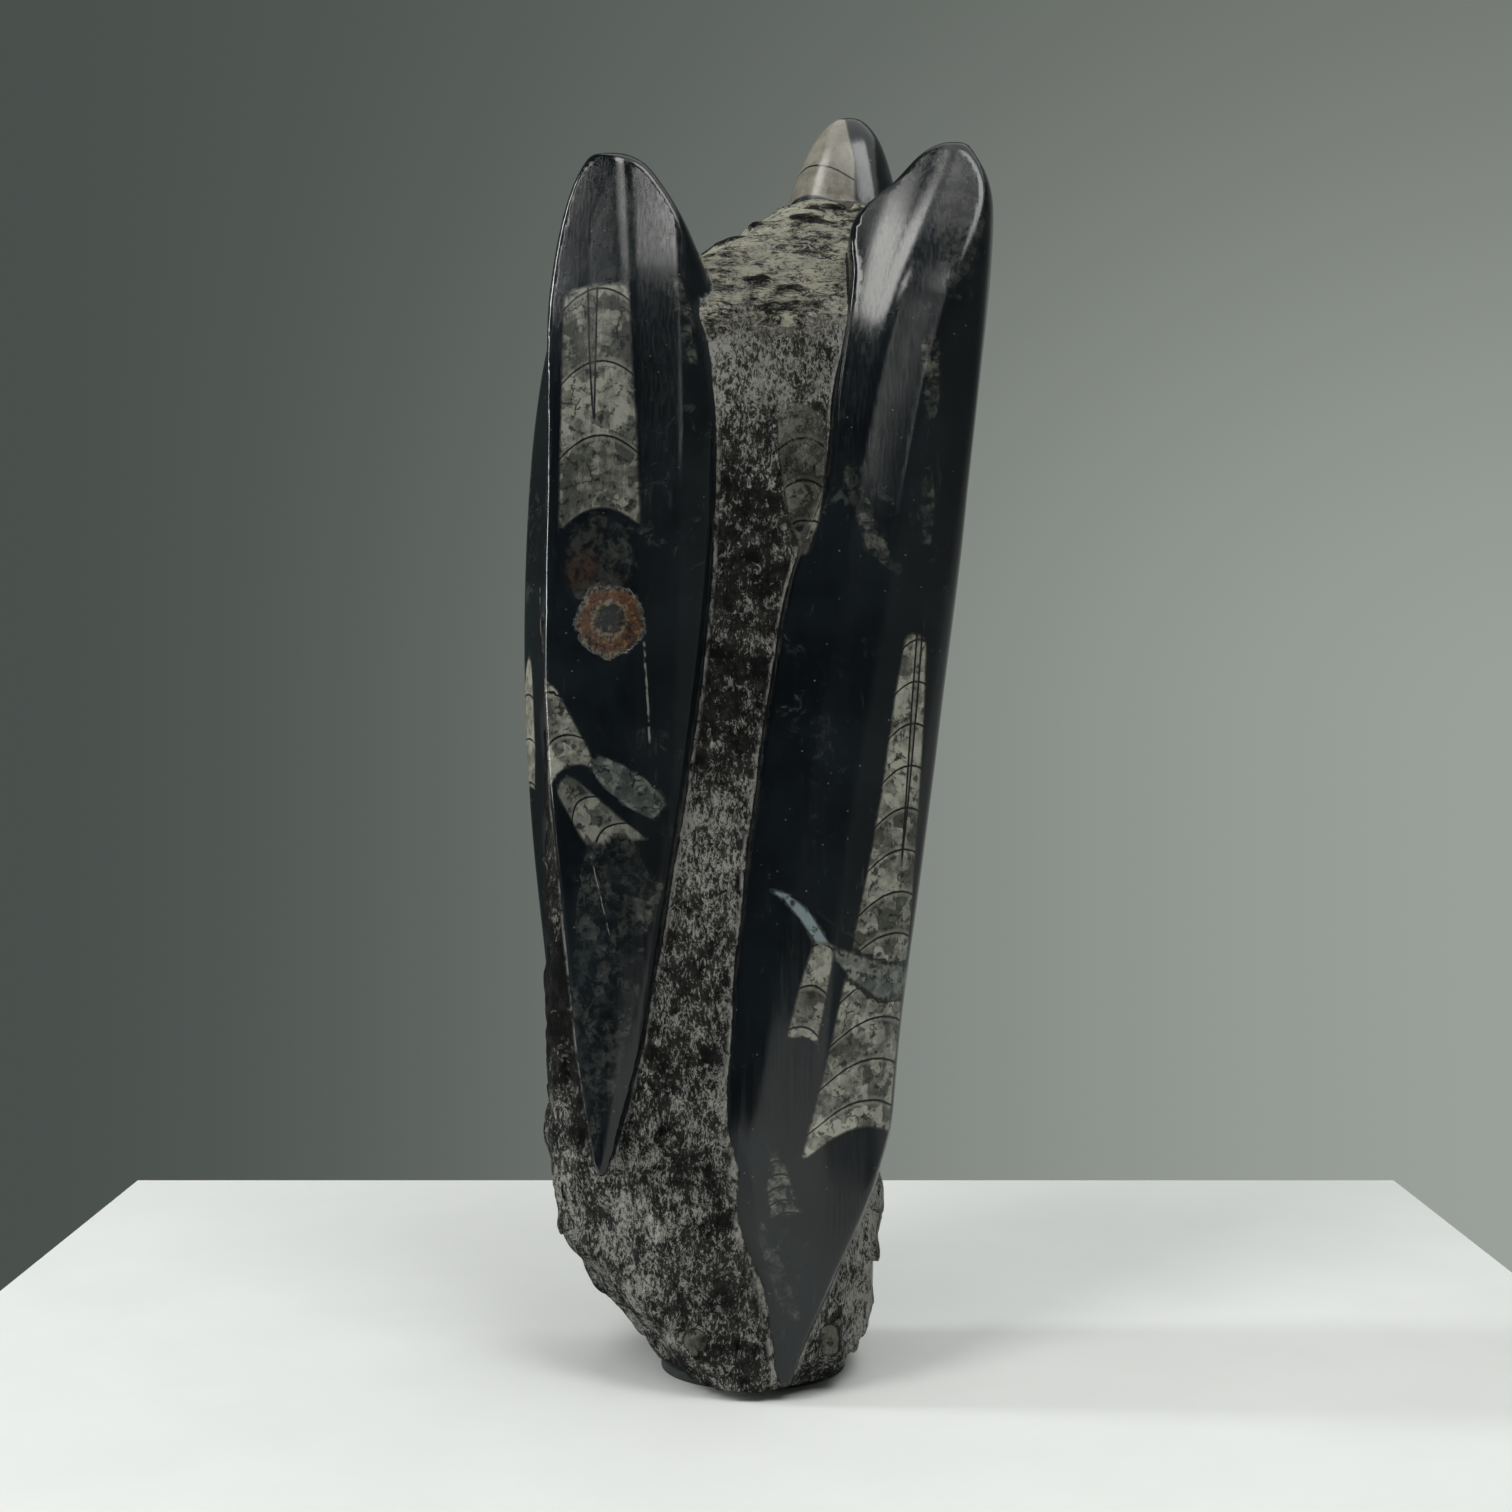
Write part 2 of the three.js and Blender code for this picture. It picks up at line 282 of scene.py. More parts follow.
class Tower:
    """The whole stone as one closed shape: a value below 0 is stone."""

    def __init__(self, relief):
        self.spires = [Spire(plan) for plan in SPIRES.values()]
        self.rough = RoughBody()
        self.relief = relief

    def parts(self, x, y, z):
        """Value outside the nearest spire, and outside the rough body with its relief."""
        polished = np.full(np.broadcast(x, y, z).shape, FAR_AWAY)
        for spire in self.spires:
            polished = np.minimum(polished, spire.outside(x, y, z))
        broken = self.rough.outside(x, y, z)
        near = np.abs(broken) < RELIEF_BAND
        spots = np.stack([np.broadcast_to(a, broken.shape)[near] for a in (x, y, z)], axis=-1)
        beside = EDGE_CALM + (1 - EDGE_CALM) * rise(polished[near], *EDGE_REACH)
        broken[near] += self.relief * beside * break_relief(spots)
        broken = np.maximum(broken, self.rough.ends(z))
        return polished, broken

    def value(self, points):
        polished, broken = self.parts(*points.T)
        return np.minimum(polished, broken)

    def slope(self, points, step=SLOPE_STEP):
        """Value and outward direction, unscaled, at an array of points."""
        value = self.value(points)
        slope = np.empty_like(points)
        for i in range(3):
            ahead = points.copy()
            ahead[:, i] += step
            slope[:, i] = (self.value(ahead) - value) / step
        return value, slope


def surface_net(value, origin, cell):
    """Vertices and outward quads of the surface where a grid of values crosses 0."""
    inside = value < 0
    shape = np.array(value.shape) - 1
    corners = [(i, j, k) for i in (0, 1) for j in (0, 1) for k in (0, 1)]

    def shifted(grid, i, j, k):
        return grid[i:shape[0] + i, j:shape[1] + j, k:shape[2] + k]

    count = sum(shifted(inside, *c).astype(np.int8) for c in corners)
    mixed = (count > 0) & (count < 8)
    index = np.full(shape, -1)
    index[mixed] = np.arange(mixed.sum())
    cells = np.argwhere(mixed)
    total = np.zeros((len(cells), 3))
    hits = np.zeros(len(cells))
    at_corner = {c: shifted(value, *c)[mixed] for c in corners}
    for a in corners:
        for axis in range(3):
            if a[axis]:
                continue
            b = tuple(1 if i == axis else a[i] for i in range(3))
            crosses = (at_corner[a] < 0) != (at_corner[b] < 0)
            gap = np.where(crosses, at_corner[a] - at_corner[b], 1)
            t = at_corner[a] / gap
            point = np.tile(np.array(a, float), (len(cells), 1))
            point[:, axis] = t
            total[crosses] += point[crosses]
            hits[crosses] += 1
    vertices = origin + cell * (cells + total / hits[:, None])

    quads = []
    for axis in range(3):
        u, v = (axis + 1) % 3, (axis + 2) % 3
        near = [slice(1, -1)] * 3
        near[axis] = slice(0, -1)
        far = list(near)
        far[axis] = slice(1, None)
        leaving = inside[tuple(near)] & ~inside[tuple(far)]
        entering = ~inside[tuple(near)] & inside[tuple(far)]
        for edges, outward in ((leaving, True), (entering, False)):
            base = np.argwhere(edges)
            base[:, u] += 1
            base[:, v] += 1
            ring = []
            for du, dv in ((-1, -1), (0, -1), (0, 0), (-1, 0)):
                at = base.copy()
                at[:, u] += du
                at[:, v] += dv
                ring.append(index[at[:, 0], at[:, 1], at[:, 2]])
            quad = np.stack(ring if outward else ring[::-1], axis=1)
            quads.append(quad)
    return vertices, np.concatenate(quads)


GRID_MARGIN = 2.5          # empty space round the stone in the grid
SETTLE_STEPS = 3           # times that the vertices are moved onto the surface
SETTLE_REACH = 0.6         # how far one of those moves may go, in cells
STEEPEST, TINY = 0.05, 1e-9    # keep the divisions below away from nothing


def carve_tower(cell, relief):
    """Vertices, quads, how far each vertex is on the polished side, and outward directions."""
    tower = Tower(relief)
    low = STONE_LOW - GRID_MARGIN
    axes = [np.arange(a, b + cell, cell) for a, b in zip(low, STONE_HIGH + GRID_MARGIN)]
    x, y, z = np.meshgrid(*axes, indexing="ij", sparse=True)
    polished, broken = tower.parts(x, y, z)
    vertices, quads = surface_net(np.minimum(polished, broken), low, cell)
    for _ in range(SETTLE_STEPS):
        value, slope = tower.slope(vertices)
        step = slope * (value / np.maximum((slope**2).sum(1), STEEPEST))[:, None]
        length = np.linalg.norm(step, axis=1, keepdims=True)
        vertices -= step * np.minimum(1, SETTLE_REACH * cell / np.maximum(length, TINY))
    vertices = np.clip(vertices, STONE_LOW + BOX_INSET, STONE_HIGH - BOX_INSET)
    _, slope = tower.slope(vertices)
    normals = slope / np.maximum(np.linalg.norm(slope, axis=1, keepdims=True), TINY)
    polished, broken = tower.parts(*vertices.T)
    return vertices, quads, broken - polished, normals


# ------------------------------------------------------------------ the fossils in the stone, in mm

# Each fossil is a cut cone. "line" runs from its narrow end to its mouth: x, y, z, half width
# and, where a tube runs through its chambers, its half width. "facing" points out of the stone.
# "chamber" is the spacing of its walls and "first" the place of the first one; "bow" is how far
# a wall dishes, in half widths, and "lean" moves the top of that arch sideways. "tube_at" is
# where the tube runs, in half widths off the middle. "mouth" is where it ends along the line and
# "corner" rounds its outline. "tone" is how solid it looks, "bright" how pale its calcite is,
# "warmth" runs from blue grey to cream, and "over" lays it across the fossils before it.
# PLAIN_FOSSIL holds what a fossil has when nothing else is said: it faces the front, and its
# first wall is past its mouth.
PLAIN_FOSSIL = dict(facing=(0, -1, 0), chamber=900.0, first=500.0, bow=0.0, lean=0.0,
                    tube_at=0.0, corner=3.0, bright=1.0, over=False)
FOSSILS = {
    "left_main": dict(
        line=[(-50.2, -31.3, 357.8, 12, 1.7), (-50, -34.5, 338, 12.7, 1.2),
              (-49.5, -36.8, 320.2, 13.5, 0.5), (-49.2, -37.4, 313, 13.9),
              (-48.7, -39.3, 278.7, 14.9), (-48.7, -39.4, 262, 15.5)],
        facing=(-0.2, -0.98, 0), chamber=24, first=25.5, bow=0.5, tube_at=-0.1, mouth=73, tone=1,
        warmth=0.2, corner=5, bright=0.64),
    "left_tip_stain": dict(
        line=[(-43.5, -28, 394, 3), (-44.5, -29.5, 382, 7.5), (-44.5, -31.5, 370, 8.5),
              (-44.5, -33, 358, 8)],
        facing=(-0.42, -0.89, 0.16), mouth=37, tone=0.7, warmth=0.4, bright=0.04),
    "left_chamber": dict(
        line=[(-48.7, -39.3, 284, 4), (-48.7, -39.4, 279, 10.5), (-48.8, -39.6, 270, 13),
              (-49.2, -40.4, 256, 9)],
        facing=(-0.2, -0.98, 0), mouth=28, tone=0.42, warmth=0.9, corner=6, bright=0.24),
    "right_tip_mottle": dict(
        line=[(61, -23, 407, 2), (64.5, -27, 394, 7), (66.5, -33, 378, 8.5), (64, -37, 362, 6),
              (60.5, -39.5, 350, 1.5)],
        facing=(-0.06, -0.93, 0.36), mouth=58, tone=0.55, warmth=0.9, bright=0.2),
    "left_lower_haze": dict(
        line=[(-46, -45, 186, 6), (-45, -46, 168, 13), (-47, -46, 140, 13), (-52, -44, 105, 10),
              (-55, -42, 78, 5)],
        facing=(-0.1, -0.99, 0), mouth=110, tone=0.34, warmth=-0.2, corner=6, bright=0.45),
    "left_diagonal": dict(
        line=[(-74, -22, 238, 3), (-67, -32.5, 224, 6.6), (-60, -37, 206, 9.2),
              (-55.5, -39, 193, 10.6)],
        facing=(-0.35, -0.93, 0), chamber=14.5, first=17, bow=0.5, mouth=42, tone=0.93, warmth=0.5,
        corner=2, bright=0.86),
    "left_low_cone": dict(
        line=[(-61.5, -36.6, 199, 4), (-51.9, -41.3, 187.5, 6.9), (-39.5, -45.9, 174, 9.5),
              (-34, -46, 167.5, 10.4)],
        facing=(-0.3, -0.95, 0), chamber=12.5, first=9.5, bow=0.55, mouth=30, tone=0.97,
        warmth=0.45, bright=0.5),
    "left_chunk": dict(
        line=[(-51.5, -41.6, 205.5, 3), (-44.5, -44.2, 200.5, 5.4), (-36, -46, 194.5, 5.8),
              (-27, -46, 188, 3.6)],
        facing=(-0.2, -0.98, 0), mouth=28.5, tone=0.66, warmth=-0.25, corner=2),
    "left_rim_strip": dict(
        line=[(-76.2, 9, 240, 1.6), (-76.2, 10.2, 228, 4), (-76, 11, 208, 5),
              (-75.6, 12, 190, 3.5)],
        facing=(-0.7, -0.7, 0), chamber=15, first=14, bow=0.4, mouth=46, tone=0.95, warmth=0.8,
        corner=4),
    "left_ghost": dict(
        line=[(-35, -46, 168, 8.6), (-35.2, -46.1, 158, 5), (-35.8, -46.2, 146, 0.6)],
        mouth=22, tone=0.3, warmth=-0.1),
    "left_face_mottle": dict(
        line=[(-24.5, -36.9, 360, 2), (-22, -37.4, 347, 3.6), (-19.3, -38.6, 332, 2.4)],
        facing=(0.2, -0.98, 0), mouth=30, tone=0.3, warmth=-0.1),
    "right_main": dict(
        line=[(51.7, -45, 246, 4, 0.9), (49.7, -44.9, 224.6, 5.8, 0.9),
              (46.8, -43.6, 192.8, 7.7, 0.4), (44.2, -43, 168.9, 9.7), (40.7, -42.2, 143.2, 12),
              (36.5, -43, 116, 13.6), (31.5, -43, 90, 15.2), (29, -43, 76, 15.8)],
        facing=(0.25, -0.97, 0), chamber=13.4, first=2, bow=0.46, lean=0.42, tube_at=0.3,
        mouth=158.5, tone=1, warmth=0.45, corner=4),
    "right_crossing": dict(
        line=[(25, -49.6, 146, 2), (33, -46, 139.5, 4.6), (42, -42, 134.5, 6), (53, -36, 134, 6)],
        facing=(0.2, -0.98, 0), mouth=60, tone=1, warmth=-0.3, bright=0.62, over=True),
    "right_short": dict(
        line=[(23, -49.8, 149, 3.6), (19.4, -49.7, 134, 4.9), (15.8, -49.7, 118.5, 5.3),
              (14.8, -49.6, 108, 5.4)],
        chamber=13.5, first=15, bow=0.45, mouth=32, tone=1, warmth=0.5,
        bright=0.8),
    "right_sliver": dict(
        line=[(3.5, -46.2, 165, 0.5), (10.5, -48.6, 162.5, 1.6), (16.5, -49.2, 156.5, 2.4),
              (21, -49.8, 149.5, 2.2), (26.5, -49.6, 142.5, 1.2)],
        mouth=32, tone=0.85, warmth=-0.9, corner=1),
    "right_low_ghost": dict(
        line=[(7, -48.8, 80.5, 2.6), (8.5, -48.6, 70, 4.6), (11, -48.2, 58, 5.4)],
        chamber=4.2, first=2, bow=0.3, mouth=20, tone=0.42, warmth=0.1),
    "right_green_band": dict(
        line=[(1.5, -47.2, 60, 2), (7.5, -47.6, 43, 3.4), (14, -46.5, 24, 3.2)],
        mouth=36, tone=0.22, warmth=-0.3),
    "right_patch_high": dict(
        line=[(56, -43.2, 341, 3.6), (56.4, -44, 319, 3.2), (57, -44, 311, 1)],
        facing=(0.3, -0.95, 0), mouth=28, tone=0.4, warmth=0),
    "right_patch_left": dict(
        line=[(29, -44.8, 300, 2), (33.5, -45.6, 288, 3.6), (39, -47.6, 273, 3.6),
              (45.5, -48, 264, 1.2)],
        mouth=40, tone=0.42, warmth=0),
    "right_patch_mid": dict(
        line=[(55, -44.9, 299, 2.4), (55.4, -44.5, 285, 3.2), (55.2, -44.5, 272, 1.6)],
        facing=(0.3, -0.95, 0), mouth=26, tone=0.3, warmth=0),
    "right_edge_wisp": dict(
        line=[(21, -50.5, 232, 0.8), (22.5, -50.5, 214, 2.4), (20, -50.5, 196, 0.6)],
        mouth=36, tone=0.2, warmth=-0.3),
    "channel_cone": dict(
        line=[(14.5, -37, 324, 7), (15.7, -37, 308.4, 8.3), (15.9, -37.6, 296, 7.4),
              (16.2, -39.8, 283, 6.1), (16.5, -40.6, 272, 3.4)],
        chamber=13, first=3, bow=0.5, mouth=54, tone=0.92, warmth=0.2,
        corner=6),
    "channel_ghost": dict(
        line=[(9.3, -35.6, 352, 12.5), (10.6, -36, 333, 14), (10.6, -36.4, 313, 13)],
        chamber=23, first=3, bow=0.35, mouth=36, tone=0.35, warmth=0.2,
        corner=6),
    "back_tip_cone": dict(
        line=[(28, 32, 428, 4), (23, 24, 410, 13), (19, 20, 390, 17), (17, 18, 370, 19)],
        facing=(-0.6, -0.8, 0.2), chamber=22, first=24, bow=0.4, lean=0.1, mouth=36, tone=0.95,
        warmth=1, bright=0.62),
    "base_ring_left": dict(
        line=[(-18.8, -45.5, 24.6, 1), (-18.8, -45.5, 22.8, 3.6), (-18.8, -45.3, 19.8, 4.8),
              (-18.8, -44.8, 16.8, 3.6), (-18.8, -44.5, 15, 1)],
        mouth=30, tone=1, warmth=0.1, corner=1),
    "base_ring_right": dict(
        line=[(24.8, -40, 24.6, 0.8), (24.8, -40, 22.6, 3.4), (24.8, -38.6, 18.6, 4.2),
              (24.8, -37, 14.6, 3.2), (24.8, -36.5, 12.8, 0.8)],
        facing=(0.5, -0.85, 0), mouth=30, tone=0.9, warmth=0.1, corner=1),
    "back_right_long": dict(
        line=[(28, 57, 330, 3, 0.6), (28, 60, 290, 7, 0.6), (30, 60, 240, 10.5, 0.5),
              (32, 60, 190, 13.5, 0.3), (33, 59, 160, 15)],
        facing=(0.1, 1, 0), chamber=15, first=18, bow=0.5, tube_at=0.15, mouth=155, tone=1,
        warmth=0.4, corner=4),
    "back_right_small": dict(
        line=[(8, 52, 345, 1.6), (4, 51, 318, 4.4), (1, 50, 296, 6)],
        facing=(-0.7, 0.7, 0), chamber=11, first=8, bow=0.5, mouth=46, tone=0.8, warmth=0.1),
    "back_right_flank": dict(
        line=[(57, 28, 190, 2.2, 0.3), (57.5, 30, 230, 6, 0.3), (60, 33, 275, 9.5),
              (61, 34, 300, 11)],
        facing=(1, 0.2, 0), chamber=14, first=10, bow=0.5, lean=0.2, mouth=104, tone=0.95,
        warmth=0.5),
    "right_side_cone": dict(
        line=[(76, -14, 340, 2.4, 0.3), (75, -18, 300, 6.5, 0.3), (70, -22, 256, 9.5),
              (67, -24, 236, 11)],
        facing=(1, -0.1, 0), chamber=15, first=12, bow=0.5, tube_at=0.1, mouth=96, tone=0.9,
        warmth=0.35),
    "back_left_main": dict(
        line=[(-64, 40, 320, 3, 0.5), (-66, 43, 280, 7.5, 0.5), (-67, 45, 235, 11, 0.2),
              (-66, 44, 195, 13.5), (-65, 43, 180, 14)],
        facing=(-0.6, 0.8, 0), chamber=14.5, first=14, bow=0.5, tube_at=-0.1, mouth=128, tone=1,
        warmth=0.5, corner=4),
    "back_left_small": dict(
        line=[(-37, 50, 178, 1.5), (-39, 50.5, 202, 4), (-42, 51, 232, 6)],
        facing=(0, 1, 0), chamber=9, first=8, bow=0.5, mouth=50, tone=0.7, warmth=0),
    "left_side_ghost": dict(
        line=[(-78, 14, 330, 2), (-79, 16, 305, 5), (-79, 17, 278, 6)],
        facing=(-1, 0, 0), chamber=11, first=8, bow=0.5, mouth=48, tone=0.45, warmth=0.1),
}

# Thin calcite veins: start, end, way out of the stone, half width.
VEINS = [
    ((-34.4, -45.4, 243.0), (-32.5, -45.9, 211.0), (0, -1, 0), 0.35),
    ((-72.5, 2.0, 262.0), (-70.5, 1.0, 240.0), (-0.8, -0.6, 0), 0.3),
    ((-67.9, -19.9, 160.0), (-62.5, -29.3, 137.0), (-0.8, -0.6, 0), 0.35),
    ((-66.0, -24.0, 148.0), (-58.5, -33.0, 121.0), (-0.5, -0.8, 0), 0.6),
    ((26.6, -40.0, 31.0), (12.5, -45.0, 6.0), (0.3, -0.9, 0), 0.35),
    ((-45.5, -45.0, 150.0), (-52.0, -42.0, 176.0), (-0.3, -0.9, 0), 0.2),
    ((53.0, 52.0, 150.0), (20.0, 60.0, 120.0), (0.2, 1, 0), 0.4),
    ((-20.0, 50.0, 300.0), (-60.0, 47.0, 268.0), (-0.2, 1, 0), 0.35),
    ((62.0, 5.0, 210.0), (58.0, 40.0, 172.0), (1, 0, 0), 0.35),
]

NODULE_CENTRE = (-45.8, -42.9, 250.0)
NODULE_RADIUS = 10.8
STAIN_CENTRE = (-55.0, -38.5, 266.0)


class Fossil:
    """One fossil cone, measured at points of the stone's surface."""

    def __init__(self, plan):
        self.plan = {**PLAIN_FOSSIL, **plan}
        line = np.array([(*row, 0.0)[:5] for row in plan["line"]])
        self.points, self.half, self.tube = line[:, :3], line[:, 3], line[:, 4]
        self.facing = np.array(self.plan["facing"], float)
        self.facing /= np.linalg.norm(self.facing)

    def measure(self, points):
        """Depth inside the rim, chamber number, offset from the tube, tube half width."""
        best = np.full(len(points), np.inf)
        run, half, tube, across = (np.zeros(len(points)) for _ in range(4))
        start = 0.0
        last = len(self.points) - 2
        for i in range(last + 1):
            a, b = self.points[i], self.points[i + 1]
            length = np.linalg.norm(b - a)
            way = (b - a) / length
            s = (points - a) @ way
            held = np.clip(s, -np.inf if i == 0 else 0, np.inf if i == last else length)
            offset = points - a - held[:, None] * way
            distance = np.linalg.norm(offset, axis=1)
            closer = distance < best
            t = np.clip(held / length, 0, 1)
            side = np.cross(self.facing, way)
            side /= np.linalg.norm(side)
            best[closer] = distance[closer]
            run[closer] = (start + held)[closer]
            half[closer] = (self.half[i] + t * (self.half[i + 1] - self.half[i]))[closer]
            tube[closer] = (self.tube[i] + t * (self.tube[i + 1] - self.tube[i]))[closer]
            across[closer] = (offset @ side)[closer]
            start += length
        plan = self.plan
        bowed = run - plan["bow"] * half * (across / half - plan["lean"]) ** 2
        rim = -soft_max(best - half, -run, plan["corner"])
        rim = np.minimum(rim, plan["mouth"] - bowed)
        number = (bowed - plan["first"]) / plan["chamber"]
        return rim, number, across - plan["tube_at"] * half, tube


FAR_INSIDE, FAR_OUTSIDE = 30.0, -12.0
NO_CHAMBER = -50.0         # chamber number where there is no fossil
NO_VEIN = 9.0              # vein offset where there is no vein
VEIN_REACH = 8.0           # a vein is measured only this close to it
OVER_GAP = 1.7             # dark line left round a fossil that crosses another
RIM_SHADE = 0.3            # depth that the material darkens as a fossil's rim


def fossil_layers(points):
    """Three vectors and a number for each point, from the fossil it lies deepest in.

    form: depth inside the rim, chamber number, chamber spacing
    tube: offset from the tube, tube half width, vein offset
    look: tone, warmth, how far inside a vein's ends
    bright: how pale the fossil's calcite is
    """
    bright = np.ones(len(points))
    form = np.tile((FAR_OUTSIDE, NO_CHAMBER, PLAIN_FOSSIL["chamber"]), (len(points), 1))
    tube = np.tile((NO_VEIN, 0.0, NO_VEIN), (len(points), 1))
    look = np.tile((0.0, 0.0, -NO_VEIN), (len(points), 1))
    for fossil in map(Fossil, FOSSILS.values()):
        plan = fossil.plan
        rim, number, offset, half = fossil.measure(points)
        deeper = rim > form[:, 0]
        if plan["over"]:
            deeper |= rim > 0
            beside = (rim > -OVER_GAP) & ~deeper
            form[beside, 0] = np.minimum(form[beside, 0], RIM_SHADE)
        form[deeper, 0] = np.minimum(rim, FAR_INSIDE)[deeper]
        form[deeper, 1] = number[deeper]
        form[deeper, 2] = plan["chamber"]
        tube[deeper, 0] = offset[deeper]
        tube[deeper, 1] = half[deeper]
        look[deeper, 0] = plan["tone"]
        look[deeper, 1] = plan["warmth"]
        bright[deeper] = plan["bright"]
    nearest = np.full(len(points), VEIN_REACH)
    for start, end, facing, half in VEINS:
        a, b, out = (np.array(v, float) for v in (start, end, facing))
        length = np.linalg.norm(b - a)
        way = (b - a) / length
        side = np.cross(out / np.linalg.norm(out), way)
        side /= np.linalg.norm(side)
        s = (points - a) @ way
        offset = (points - a) @ side
        depth = np.linalg.norm(points - a - np.outer(np.clip(s, 0, length), way), axis=1)
        near = depth < nearest
        nearest[near] = depth[near]
        tube[near, 2] = (offset / half)[near]
        look[near, 2] = np.minimum(s, length - s)[near]
    return form, tube, look, bright


# ------------------------------------------------------------------ finishes

class Value:
    """A number that varies over a surface: an expression on it adds Math nodes."""

    def __init__(self, finish, socket):
        self.finish = finish
        self.socket = socket

    def math(self, operation, *others):
        return self.finish.math(operation, self, *others)

    def __add__(self, other):
        return self.math("ADD", other)

    __radd__ = __add__

    def __sub__(self, other):
        return self.math("SUBTRACT", other)

    def __rsub__(self, other):
        return self.finish.math("SUBTRACT", other, self)

    def __mul__(self, other):
        return self.math("MULTIPLY", other)

    __rmul__ = __mul__

    def __truediv__(self, other):
        return self.math("DIVIDE", other)

    def __rtruediv__(self, other):
        return self.finish.math("DIVIDE", other, self)

    def __abs__(self):
        return self.math("ABSOLUTE")

    def ramp(self, low, high, start=0.0, end=1.0):
        """A smooth climb from start to end as this value goes from low to high."""
        return self.finish.node(
            "ShaderNodeMapRange", dict(interpolation_type="SMOOTHSTEP"),
            {0: self, 1: low, 2: high, 3: start, 4: end})["Result"]

    def fall(self, low, high):
        """A smooth fall from 1 to 0 as this value goes from low to high."""
        return self.ramp(low, high, 1.0, 0.0)

    def band(self, low, full, fade, high):
        """0 below low, 1 from full to fade and 0 again above high."""
        return self.ramp(low, full) * self.fall(fade, high)


class Outputs:
    """A node's outputs by name or number."""

    def __init__(self, finish, node):
        self.finish = finish
        self.all = node.outputs

    def __getitem__(self, key):
        return Value(self.finish, self.all[key])


class Finish:
    """A material or world being made: its nodes come from node(), colours mix through mix()."""

    def __init__(self, owner):
        self.owner = owner
        owner.use_nodes = True
        self.tree = owner.node_tree
        self.tree.nodes.clear()

    def node(self, kind, settings=None, values=None):
        made = self.tree.nodes.new(kind)
        for key, setting in (settings or {}).items():
            setattr(made, key, setting)
        for key, value in (values or {}).items():
            if isinstance(value, Value):
                self.tree.links.new(value.socket, made.inputs[key])
            else:
                made.inputs[key].default_value = value
        return Outputs(self, made)

    def math(self, operation, *values):
        return self.node("ShaderNodeMath", dict(operation=operation),
                         dict(enumerate(values)))["Value"]

    def mix(self, factor, a, b):
        """Colour a where factor is 0 and b where it is 1."""
        a, b = (v if isinstance(v, Value) else (*v, 1.0) for v in (a, b))
        return self.node("ShaderNodeMix", dict(data_type="RGBA"), {0: factor, 6: a, 7: b})[2]

    def scaled(self, vector, by):
        return self.node("ShaderNodeVectorMath", dict(operation="MULTIPLY"),
                         {0: vector, 1: by})["Vector"]

    def place(self):
        """The point on the piece, in mm."""
        return self.scaled(self.node("ShaderNodeTexCoord")["Object"], (1 / MM,) * 3)

    def parts(self, vector):
        split = self.node("ShaderNodeSeparateXYZ", values={0: vector})
        return split["X"], split["Y"], split["Z"]

    def noise(self, at, size, detail=3.0, roughness=0.55, distortion=0.0):
        """Smooth random values from 0 to 1; size is the spacing of their swells in mm, detail
        the finer swells added, roughness their share and distortion how far they twist."""
        return self.node(
            "ShaderNodeTexNoise", dict(noise_dimensions="3D"),
            {"Vector": at, "Scale": 1 / size, "Detail": detail, "Roughness": roughness,
             "Distortion": distortion})["Fac"]

    def sway(self, at, size, by, detail=3.0, roughness=0.55):
        """Smooth random values that reach half of by either way."""
        return (self.noise(at, size, detail, roughness) - 0.5) * by

    def threads(self, at, size, detail, roughness, distortion, thinness):
        """Thin threads that wander over a surface: 1 along their middles, falling off them."""
        return 1 - abs(self.noise(at, size, detail, roughness, distortion) - 0.5) * thinness

    def warped(self, at, by, size):
        """The place, pushed along each axis by 0 to by mm, in swells of that size."""
        push = self.node("ShaderNodeTexNoise", {}, {"Vector": at, "Scale": 1 / size})["Color"]
        return self.node("ShaderNodeVectorMath", dict(operation="MULTIPLY_ADD"),
                         {0: push, 1: (by,) * 3, 2: at})["Vector"]

    def cells(self, at, size, feature="F1"):
        return self.node("ShaderNodeTexVoronoi", dict(feature=feature),
                         {"Vector": at, "Scale": 1 / size})

    def distance(self, at, point):
        return self.node("ShaderNodeVectorMath", dict(operation="DISTANCE"),
                         {0: at, 1: point})["Value"]

    def layer(self, name):
        return self.node("ShaderNodeAttribute",
                         dict(attribute_type="GEOMETRY", attribute_name=name))

    def bump(self, height, depth_mm):
        return self.node("ShaderNodeBump", {},
                         {"Height": height, "Distance": depth_mm * MM})["Normal"]

    def shader(self, fixed, varying):
        """A shader: fixed sockets keep one value, varying ones are linked."""
        return self.node("ShaderNodeBsdfPrincipled", {}, {**fixed, **varying})["BSDF"]

    def finish(self, surface):
        self.node("ShaderNodeOutputMaterial", {}, {"Surface": surface})
        return self.owner


